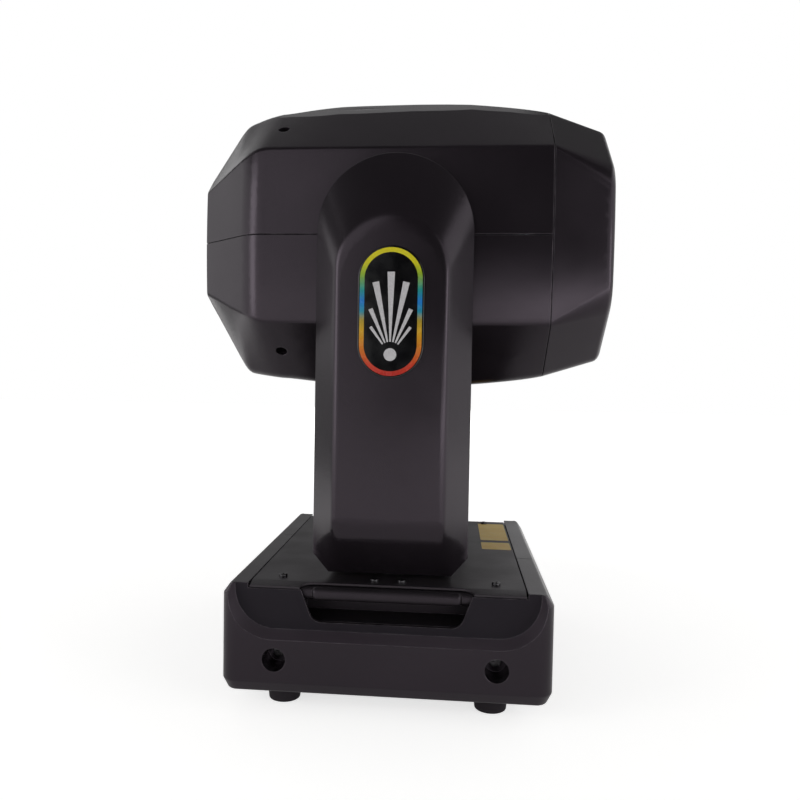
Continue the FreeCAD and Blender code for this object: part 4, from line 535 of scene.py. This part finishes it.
for node, outward in (("arm_cover_near", -1), ("arm_cover_far", 1)):
    cover = skins[node].data
    work = bmesh.new()
    work.from_mesh(cover)
    grid_below_fold(work)
    outer = {vert for vert in work.verts
             if vert.normal.y * outward > OUTER_LEAN and vert.co.y * outward > RIM - RIM_SLACK}
    profile = sorted((vert.co.x, vert.co.y * outward - RIM)
                     for vert in outer if abs(vert.co.z - FOLD) < ON_FOLD)
    profile = [(-COVER_HALF, 0)] + profile + [(COVER_HALF, 0)]
    moved = 0
    for vert in work.verts:
        if vert.co.z > FOLD - ON_FOLD or vert.co.y * outward < RIM - RIM_SLACK:
            continue
        x = min(max(vert.co.x, -COVER_HALF), COVER_HALF)
        (x0, h0), (x1, h1) = next(pair for pair in zip(profile, profile[1:]) if pair[1][0] >= x)
        bulge = h0 + (h1 - h0) * (x - x0) / max(x1 - x0, TOUCH)
        level = RIM + max(bulge, 0) * chin_share(x, vert.co.z)
        inside = min(vert.co.y * outward, level - COVER_WALL)
        vert.co.y = outward * (level if vert in outer else inside)
        moved += 1
    for edge in work.edges:
        if all(vert in outer and vert.co.z < FOLD + ON_FOLD for vert in edge.verts):
            edge.smooth = True
    print(node, "chin points:", moved, "of", len(work.verts))
    work.to_mesh(cover)
    work.free()

# %% [markdown]
# ## Coarser etch and painted shade in the hand scoops
# A mould's etch differs by zone, and a recess that fingers reach into gets the coarser one, which
# hides scratches. Its colour is also made darker, as painted shade for the recess. The zone could
# be a piece of its own, but it is one skin with the cover on the real object, so only its faces get
# the second material. A face belongs to the zone if it lies deeper than the cover's front and faces
# outwards. The sloping sill under the scoop is painted paler, as painted light for the light it
# catches, so its faces get a third.

# %% Scoop faces
SCOOP_FOOT = 49 * MM  # the faces of the scoop and its sill lie above this height
ZONE_NEAR, ZONE_FAR, SILL_FAR = 6 * MM, 12 * MM, 10.2 * MM  # behind the cover's front
ZONE_FACING = 0.6  # the least outward part of a normal in the zone
SILL_FLATTEST, SILL_STEEPEST = 0.35, 0.55  # the same for the sill, from and to
for node in ("base_cover_near", "base_cover_far"):
    mesh = skins[node].data
    mesh.materials.append(abs_scoop_painted_shade)
    mesh.materials.append(abs_sill_painted_light)
    front = max(abs(corner[1]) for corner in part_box(node))
    scoop_shaded = sill_lit = 0
    for face in mesh.polygons:
        if face.center.z <= SCOOP_FOOT:
            continue
        depth = front - abs(face.center.y)
        facing = face.normal.y * math.copysign(1, face.center.y)
        # Scoop faces get the darker material: painted shade for the recess, over a coarser grain.
        if ZONE_NEAR < depth < ZONE_FAR and abs(facing) > ZONE_FACING:
            face.material_index = 1
            scoop_shaded += 1
        # Sill faces get the paler material: painted light for the light their sloping face catches.
        elif depth < SILL_FAR and SILL_FLATTEST < facing < SILL_STEEPEST:
            face.material_index = 2
            sill_lit += 1
    print(node, "etched faces:", scoop_shaded, "rubbed faces:", sill_lit, "of", len(mesh.polygons))

# %% [markdown]
# ## Badge on the near arm
# The badge is a domed resin pill over a printed film: a black field with a plain fan of rays,
# inside a ring that runs through the colours of a spectrum. The ring could be painted on by a mask,
# but a thin raised film keeps its edge sharp at any distance. A circle whose two halves are pulled
# apart makes a pill, and an inset makes the ring.

# %% Film pieces
FILM = 0.06 * MM


def new_piece(work, name, material, body):
    """Turns a bmesh into a finished piece."""
    mesh = bpy.data.meshes.new(name)
    work.to_mesh(mesh)
    work.free()
    piece = bpy.data.objects.new(name, mesh)
    scene.collection.objects.link(piece)
    return finish_piece(piece, material, body)


def thicken(work, toward):
    """Raises all faces of a flat bmesh into a film along a direction."""
    raised = bmesh.ops.extrude_face_region(work, geom=work.faces[:])["geom"]
    corners = [part for part in raised if isinstance(part, bmesh.types.BMVert)]
    bmesh.ops.translate(work, verts=corners, vec=Vector(toward) * FILM)
    bmesh.ops.recalc_face_normals(work, faces=work.faces)


def hollow_out(work, width):
    """Leaves a rim of a given width of the flat shape in a bmesh."""
    inner = work.faces[:]
    bmesh.ops.inset_region(work, faces=inner, thickness=width, use_boundary=True,
                           use_even_offset=True)
    bmesh.ops.delete(work, geom=inner, context="FACES_ONLY")


badge_low, badge_high = (Vector(corner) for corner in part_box("arm_badge"))
badge_middle = (badge_low + badge_high) / 2
print("badge", [round(side / MM, 1) for side in badge_high - badge_low], "mm")

# %% Spectrum ring
PILL_STEPS = 48
EDGE_MARGIN = 1.4 * MM
RING_WIDTH = 3.3 * MM
PINHOLE, PINHOLE_SHARE = 0.6 * MM, 0.12
upright = Matrix.Rotation(math.pi / 2, 3, "X")
half_width = (badge_high.x - badge_low.x) / 2 - EDGE_MARGIN
stretch = (badge_high.z - badge_low.z) / 2 - EDGE_MARGIN - half_width
work = bmesh.new()
bmesh.ops.create_circle(work, cap_ends=True, segments=PILL_STEPS, radius=half_width)
bmesh.ops.rotate(work, verts=work.verts, matrix=Matrix.Rotation(math.pi / PILL_STEPS, 3, "Z"))
for way in (1, -1):
    half = [corner for corner in work.verts if corner.co.y * way > 0]
    bmesh.ops.translate(work, verts=half, vec=(0, way * stretch, 0))
hollow_out(work, RING_WIDTH)
bmesh.ops.rotate(work, verts=work.verts, matrix=upright)
bmesh.ops.translate(work, verts=work.verts, vec=(badge_middle.x, badge_low.y, badge_middle.z))
thicken(work, (0, -1, 0))

# Screen ink is a satin, saturated colour, and pinholes let a little of the black field through.
spectrum, tree, shader, coords = new_material("ink_screen_printed_spectrum", IOR=1.5,
                                              Coat_Weight=0.5)
rise = add(tree, "SeparateXYZ", {"Vector": coords}).outputs["Z"]
share = add(tree, "MapRange", {"Value": rise, "From Min": badge_high.z, "From Max": badge_low.z})
ramp = add(tree, "ValToRGB", {"Fac": share.outputs["Result"]})
bands = ((0.0, "#e3d61f"), (0.13, "#d9d021"), (0.22, "#8fb52a"), (0.33, "#219a90"),
         (0.42, "#1f7fd6"), (0.50, "#2495ad"), (0.56, "#b29a33"), (0.64, "#dcab20"),
         (0.78, "#dd7a1e"), (0.90, "#d03a1d"), (1.0, "#b9201c"))
for at, code in bands[1:-1]:
    ramp.color_ramp.elements.new(at)
for mark, (at, code) in zip(ramp.color_ramp.elements, bands):
    mark.position = at
    mark.color = linear(code)
pinholes = speckled(tree, coords, PINHOLE, 0, PINHOLE_SHARE)
faded = add(tree, "Mix", {0: pinholes, 6: ramp.outputs["Color"], 7: linear("#101010")},
            data_type="RGBA")
tree.links.new(faded.outputs[2], shader.inputs["Base Color"])
tree.links.new(speckled(tree, coords, 5 * MM, 0.22, 0.32), shader.inputs["Roughness"])
badge_ring = new_piece(work, "badge_ring", spectrum, body_of["arm_badge"])
print("ring", round(2 * half_width / MM, 1), "mm wide,", len(badge_ring.data.polygons), "faces")

# %% [markdown]
# ## Fan of rays
# Each ray is a narrow wedge that starts near the foot of the field and opens upwards, as light does
# in haze. The rays could be cut from one triangle, but a unit square that is stretched, widened at
# its far edge and turned about the foot of the fan is the same few lines for every ray.

# %% Rays
FAN_FOOT = 30 * MM  # below the badge's middle
RAY_START = 9 * MM
RAY_WIDTH = 1.1 * MM
OPENING = 12  # a ray opens to as many times its width as its reach holds this many mm
SOURCE, SOURCE_STEPS = 4.5 * MM, 32
rays = {-36: 24, -24: 35, -12: 52, 0: 58, 12: 52, 24: 35, 36: 24}  # degrees: reach in mm
work = bmesh.new()
for turn, reach in rays.items():
    corners = bmesh.ops.create_grid(work, x_segments=1, y_segments=1, size=0.5)["verts"]
    length = reach * MM - RAY_START
    bmesh.ops.scale(work, verts=corners, vec=(RAY_WIDTH, length, 1))
    far = [corner for corner in corners if corner.co.y > 0]
    bmesh.ops.scale(work, verts=far, vec=(reach / OPENING, 1, 1))
    bmesh.ops.translate(work, verts=corners, vec=(0, RAY_START + length / 2, 0))
    bmesh.ops.rotate(work, verts=corners, matrix=Matrix.Rotation(-math.radians(turn), 3, "Z"))
bmesh.ops.create_circle(work, cap_ends=True, segments=SOURCE_STEPS, radius=SOURCE)
bmesh.ops.rotate(work, verts=work.verts, matrix=upright)
fan_place = (badge_middle.x, badge_low.y, badge_middle.z - FAN_FOOT)
bmesh.ops.translate(work, verts=work.verts, vec=fan_place)
thicken(work, (0, -1, 0))
# Silver ink is pale grey with a weak metallic gleam, and its flakes make it slightly uneven.
silver, *_ = plain_finish("ink_screen_printed_silver", 0.5 * MM, "#b9b7ba", "#d3d1d3",
                          0.8 * MM, 0.34, 0.46, IOR=1.5, Metallic=0.3)
badge_fan = new_piece(work, "badge_fan", silver, body_of["arm_badge"])
print("fan of", len(rays), "rays,", len(badge_fan.data.polygons), "faces")

# %% [markdown]
# ## Blank labels on the base
# Two buff vinyl labels lie on the top plate behind the arm. They are left blank. A label could be a
# patch of colour on the plate, but a real sheet catches light on its edge. It is cut from a
# stretched square whose corners are rounded. Vinyl yellows and fades unevenly over a few
# centimetres.

# %% Labels
LABEL_CORNER, CORNER_STEPS = 2 * MM, 5
LABEL_EDGE = 0.8 * MM
DIMPLE, DIMPLE_DEPTH, DIMPLE_STRENGTH = 3 * MM, 0.05 * MM, 0.3
labels = {  # the middle's X and Y, and half the width and length, in mm
    "label_large": (85.7, 75.5, 12.7, 38.5),
    "label_small": (85.7, 14.0, 12.7, 14.0),
}
# Vinyl is a warm, matt buff with soft dimples from the glue below.
vinyl, tree, shader, coords = plain_finish("vinyl_buff_label", 22 * MM, "#f3cc6c", "#fad87e",
                                           6 * MM, 0.38, 0.50, detail=3.0, IOR=1.52)
edges = add(tree, "Bevel", {"Radius": LABEL_EDGE}, samples=EDGE_SAMPLES).outputs["Normal"]
grained(tree, shader, coords, DIMPLE, DIMPLE_DEPTH, DIMPLE_STRENGTH, 2.0, edges)
plate_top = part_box("base_top_plate")[1][2]
for name, (x, y, half_x, half_y) in labels.items():
    work = bmesh.new()
    bmesh.ops.create_grid(work, x_segments=1, y_segments=1, size=1)
    bmesh.ops.scale(work, verts=work.verts, vec=(half_x * MM, half_y * MM, 1))
    bmesh.ops.bevel(work, geom=work.verts[:], offset=LABEL_CORNER, segments=CORNER_STEPS,
                    profile=0.5, affect="VERTICES", material=-1)
    bmesh.ops.translate(work, verts=work.verts, vec=(x * MM, y * MM, plate_top))
    thicken(work, (0, 0, 1))
    new_piece(work, name, vinyl, body_of["base_top_plate"])
print("labels:", list(labels), "at", round(plate_top / MM, 1), "mm")

# %% [markdown]
# ## Marks on the menu keys
# The four rubber keys beside the display carry plain printed marks: three bars for the menu, arrows
# for down and up, and a ring for enter. They could be letters of a symbol font, but a font may be
# missing elsewhere. Bars are stretched squares, arrows are circles of three segments, and the ring
# is an inset circle. Each mark rides on its own key, so it moves when the key is pressed.

# %% Key marks
MARK_SHARE = 0.22  # of a key's height, and the unit of the sizes below
BAR_STEP, BAR_LENGTH, BAR_WIDTH = 0.7, 1.8, 0.3
ENTER_WIDTH, ENTER_STEPS = 0.35, 32
arrow_turns = {"menu_key_2": -math.pi / 2, "menu_key_3": math.pi / 2}
facing = Matrix.Rotation(math.pi / 2, 3, "Z") @ Matrix.Rotation(math.pi / 2, 3, "X")
# Pad printing leaves a thin, slightly patchy white.
ink, *_ = plain_finish("ink_pad_printed_white", 0.5 * MM, "#bdbbb8", "#d2d0cd",
                       1.5 * MM, 0.45, 0.60, IOR=1.5)
for key in ("menu_key_1", "menu_key_2", "menu_key_3", "menu_key_4"):
    low, high = (Vector(corner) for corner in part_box(key))
    size = MARK_SHARE * (high.z - low.z)
    work = bmesh.new()
    if key == "menu_key_1":
        for step in (-BAR_STEP, 0, BAR_STEP):
            bar = bmesh.ops.create_grid(work, x_segments=1, y_segments=1, size=0.5)["verts"]
            bmesh.ops.scale(work, verts=bar, vec=(BAR_LENGTH * size, BAR_WIDTH * size, 1))
            bmesh.ops.translate(work, verts=bar, vec=(0, step * size, 0))
    elif key == "menu_key_4":
        bmesh.ops.create_circle(work, cap_ends=True, segments=ENTER_STEPS, radius=size)
        hollow_out(work, ENTER_WIDTH * size)
    else:
        bmesh.ops.create_circle(work, cap_ends=True, segments=3, radius=size)
        tip = max(work.verts, key=lambda corner: corner.co.length)
        turn = Matrix.Rotation(arrow_turns[key] - math.atan2(tip.co.y, tip.co.x), 3, "Z")
        bmesh.ops.rotate(work, verts=work.verts, matrix=turn)
    middle = (low + high) / 2
    bmesh.ops.rotate(work, verts=work.verts, matrix=facing)
    bmesh.ops.translate(work, verts=work.verts, vec=(high.x, middle.y, middle.z))
    thicken(work, (1, 0, 0))
    new_piece(work, key + "_mark", ink, body_of[key])
print("key marks on the +X side at", round(high.x / MM, 1), "mm")

# %% [markdown]
# ## Camera
# The photograph was taken from about 0.7 m, a little to the right of the arm and nearly level, so
# the head shows its side and the base shows its top. The camera's turns are applied one after the
# other to its right, up and forward directions, which is easier to follow than Euler angles.

# %% Camera
CAMERA_PLACE = (0.0435, -0.6993, 0.2493)
YAW, PITCH, ROLL = math.radians(5.47), math.radians(2.43), math.radians(0.94)
SENSOR = LENS = 36  # mm, so the view is as wide as it is far away
SHIFT = 0.0318
YOKE_MIDDLE = Vector((0, 0, 0.25))
level = Vector((-math.sin(YAW), math.cos(YAW), 0))
right = Vector((math.cos(YAW), math.sin(YAW), 0))
up = Vector((0, 0, 1))
forward = level * math.cos(PITCH) - up * math.sin(PITCH)
tilted_up = up * math.cos(PITCH) + level * math.sin(PITCH)
camera_right = right * math.cos(ROLL) + tilted_up * math.sin(ROLL)
camera_up = tilted_up * math.cos(ROLL) - right * math.sin(ROLL)
lens = bpy.data.cameras.new("camera")
lens.sensor_width = SENSOR
lens.lens = LENS
lens.shift_x = SHIFT
camera = bpy.data.objects.new("camera", lens)
scene.collection.objects.link(camera)
turned = Matrix((camera_right, camera_up, -forward)).transposed().to_4x4()
camera.matrix_world = Matrix.Translation(CAMERA_PLACE) @ turned
bpy.context.scene.camera = camera
print("camera", round((camera.location - YOKE_MIDDLE).length, 3), "m from the yoke")

# %% [markdown]
# ## Pale floor in a white room
# The floor is matt and pale, so it throws light up at the object as a white table does, and it
# keeps the shadow under the feet. It could be lit until it is white, but that would wash the object
# out. So the camera sees it as white because a glow is added for camera rays. Reflections and clear
# glass get a smaller glow, which keeps the lower half of each satin face dark. Both glows grow with
# the distance from the object. Seen from below, the floor lets the camera through. The room around
# it is plain white at a strength of one.

# %% Floor and world
scene.view_settings.view_transform = "Standard"
FLOOR_HALF = 4.0
SEEN_GLOW = {"From Min": 0.4, "From Max": 1.2, "To Min": 0.70, "To Max": 1.0}
MIRRORED_GLOW = {"From Min": 0.35, "From Max": 1.0, "To Min": 0.24, "To Max": 0.65}
work = bmesh.new()
bmesh.ops.create_grid(work, x_segments=1, y_segments=1, size=FLOOR_HALF)
floor = bpy.data.objects.new("floor", bpy.data.meshes.new("floor"))
work.to_mesh(floor.data)
work.free()
scene.collection.objects.link(floor)
floor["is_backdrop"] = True
# Matt paper shows no highlight at all.
paper, tree, shader, coords = new_material(
    "paper_matt_white", Roughness=0.9, Specular_IOR_Level=0.0,
    Base_Color=linear("#e6e5e3"), Emission_Color=linear("#ffffff"))
path = add(tree, "LightPath").outputs
mirrored = add(tree, "Math", {0: path["Is Glossy Ray"], 1: path["Is Transmission Ray"]},
               operation="MAXIMUM").outputs[0]
distance = add(tree, "VectorMath", {0: coords}, operation="LENGTH").outputs["Value"]
seen = add(tree, "MapRange", {"Value": distance} | SEEN_GLOW).outputs["Result"]
returned = add(tree, "MapRange", {"Value": distance} | MIRRORED_GLOW).outputs["Result"]
mirrored_glow = add(tree, "Math", {0: mirrored, 1: returned}, operation="MULTIPLY").outputs[0]
glow = add(tree, "Math", {0: path["Is Camera Ray"], 1: seen, 2: mirrored_glow},
           operation="MULTIPLY_ADD")
tree.links.new(glow.outputs[0], shader.inputs["Emission Strength"])
under = add(tree, "NewGeometry").outputs["Backfacing"]
clear = add(tree, "BsdfTransparent").outputs[0]
see_through = add(tree, "MixShader", {0: under, 1: shader.outputs[0], 2: clear})
tree.links.new(see_through.outputs[0], tree.nodes["Material Output"].inputs["Surface"])
floor.data.materials.append(paper)

world = bpy.data.worlds.new("white room")
world.use_nodes = True
world.node_tree.nodes["Background"].inputs["Color"].default_value = linear("#ffffff")
world.node_tree.nodes["Background"].inputs["Strength"].default_value = 1.0
scene.world = world
print("floor", 2 * FLOOR_HALF, "m wide, world", world.name)

# %% [markdown]
# ## Flats around the object
# A white room alone would wash a dark, satin object out, because each smooth face mirrors some part
# of the room. Painting the faces darker would not help, so a studio sets up flats, each as dark or
# as pale as the face that mirrors it should look. The one behind the camera is nearly black and
# darkens the upper part of each upright face. Overhead they run from dark at the front to mid grey
# at the back left, which is what the head's crest and rear facets pick up. The left one is pale,
# the low one in front of it keeps the bright floor out of the arm's bevel, and the others are grey.

# %% Flats


def aimed(place, target):
    """The turn that points a lamp's or a flat's face from a place at a target."""
    return (Vector(target) - Vector(place)).to_track_quat("-Z", "Y")


def grey_flat(name, place, target, width, height, glow):
    """A flat that hides the white room from the object, glows and lets the camera through."""
    work = bmesh.new()
    bmesh.ops.create_grid(work, x_segments=1, y_segments=1, size=0.5)
    bmesh.ops.scale(work, verts=work.verts, vec=(width, height, 1))
    bmesh.ops.rotate(work, verts=work.verts, matrix=aimed(place, target).to_matrix())
    bmesh.ops.translate(work, verts=work.verts, vec=place)
    flat = bpy.data.objects.new(name, bpy.data.meshes.new(name))
    work.to_mesh(flat.data)
    work.free()
    scene.collection.objects.link(flat)
    # Felt returns hardly any light of its own, so the glow alone sets how pale a flat looks.
    felt, *_ = new_material("felt_" + name, Roughness=1.0, Specular_IOR_Level=0.0,
                            Base_Color=linear("#0c0c0c"), Emission_Color=linear("#ffffff"),
                            Emission_Strength=glow)
    flat.data.materials.append(felt)
    flat.visible_camera = False
    flat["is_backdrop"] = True


flats = {  # place, target, width and height in metres, and glow
    "front_flat": ((0.43, -1.6, 0.82), (0.43, 0, 0.82), 1.26, 1.52, 0.02),
    "overhead_front_flat": ((0, -0.95, 1.55), (0, -0.95, 0), 3.2, 1.3, 0.06),
    "overhead_flat": ((0, 0.15, 1.55), (0, 0.15, 0), 3.2, 0.9, 0.20),
    "overhead_back_flat": ((-0.65, 1.1, 1.55), (-0.65, 1.1, 0), 1.9, 1.0, 0.42),
    "overhead_right_flat": ((0.95, 1.1, 1.55), (0.95, 1.1, 0), 1.3, 1.0, 0.12),
    "back_left_flat": ((-0.5, 1.6, 0.75), (-0.5, 0, 0.75), 1.4, 1.5, 0.24),
    "back_right_flat": ((0.7, 1.6, 0.75), (0.7, 0, 0.75), 1.0, 1.5, 0.46),
    "left_flat": ((-1.6, 0.15, 0.5), (0, 0.15, 0.5), 1.3, 1.0, 0.90),
    "left_low_flat": ((-1.0, 0.5, 0.12), (0, 0.5, 0.12), 0.7, 0.24, 0.28),
    "left_back_flat": ((-1.6, 1.45, 0.5), (0, 1.45, 0.5), 1.3, 1.0, 0.30),
    "right_back_flat": ((1.6, 1.0, 0.5), (0, 1.0, 0.5), 1.2, 1.0, 0.68),
    "left_upper_flat": ((-1.6, 0.0, 1.25), (0, 0.0, 1.25), 2.6, 0.5, 0.15),
}
for name, settings in flats.items():
    grey_flat(name, *settings)
print("flats:", list(flats))

# %% [markdown]
# ## Soft boxes
# The lamps only add to the room's light. Hard spots would show as dots on the satin plastic, so
# they are wide rectangles: one at the left front runs across the arm as a soft gradient, a smaller
# one lifts the right side, and a low strip behind the camera puts the bright band on the head's
# lower half.

# %% Soft boxes


def soft_box(name, place, target, width, height, power):
    """A rectangular lamp at a place, aimed at a target."""
    lamp = bpy.data.lights.new(name, "AREA")
    lamp.shape = "RECTANGLE"
    lamp.size = width
    lamp.size_y = height
    lamp.energy = power
    holder = bpy.data.objects.new(name, lamp)
    scene.collection.objects.link(holder)
    holder.location = place
    holder.rotation_euler = aimed(place, target).to_euler()


lamps = {  # place, target, width and height in metres, and power in watts
    "left_front_box": ((-1.25, -0.95, 0.55), (0, 0, 0.35), 0.6, 0.9, 4),
    "right_front_box": ((1.3, -0.9, 0.35), (0, 0, 0.30), 0.4, 0.5, 2),
    "front_strip": ((0.84, -1.55, 0.10), (0.84, 0, 0.10), 1.44, 0.18, 2.5),
}
for name, settings in lamps.items():
    soft_box(name, *settings)
print("lamps:", list(lamps))

# %% [markdown]
# ## Sizes of the CAD solids and of the dressed part
# The box of the CAD solids and the box of the dressed part are printed side by side, so that they
# can be compared.

# %% Sizes
dressed_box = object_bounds()
for title, box in (("CAD", cad_box), ("dressed", dressed_box)):
    print(title, [[round(v, 4) for v in corner] for corner in box])
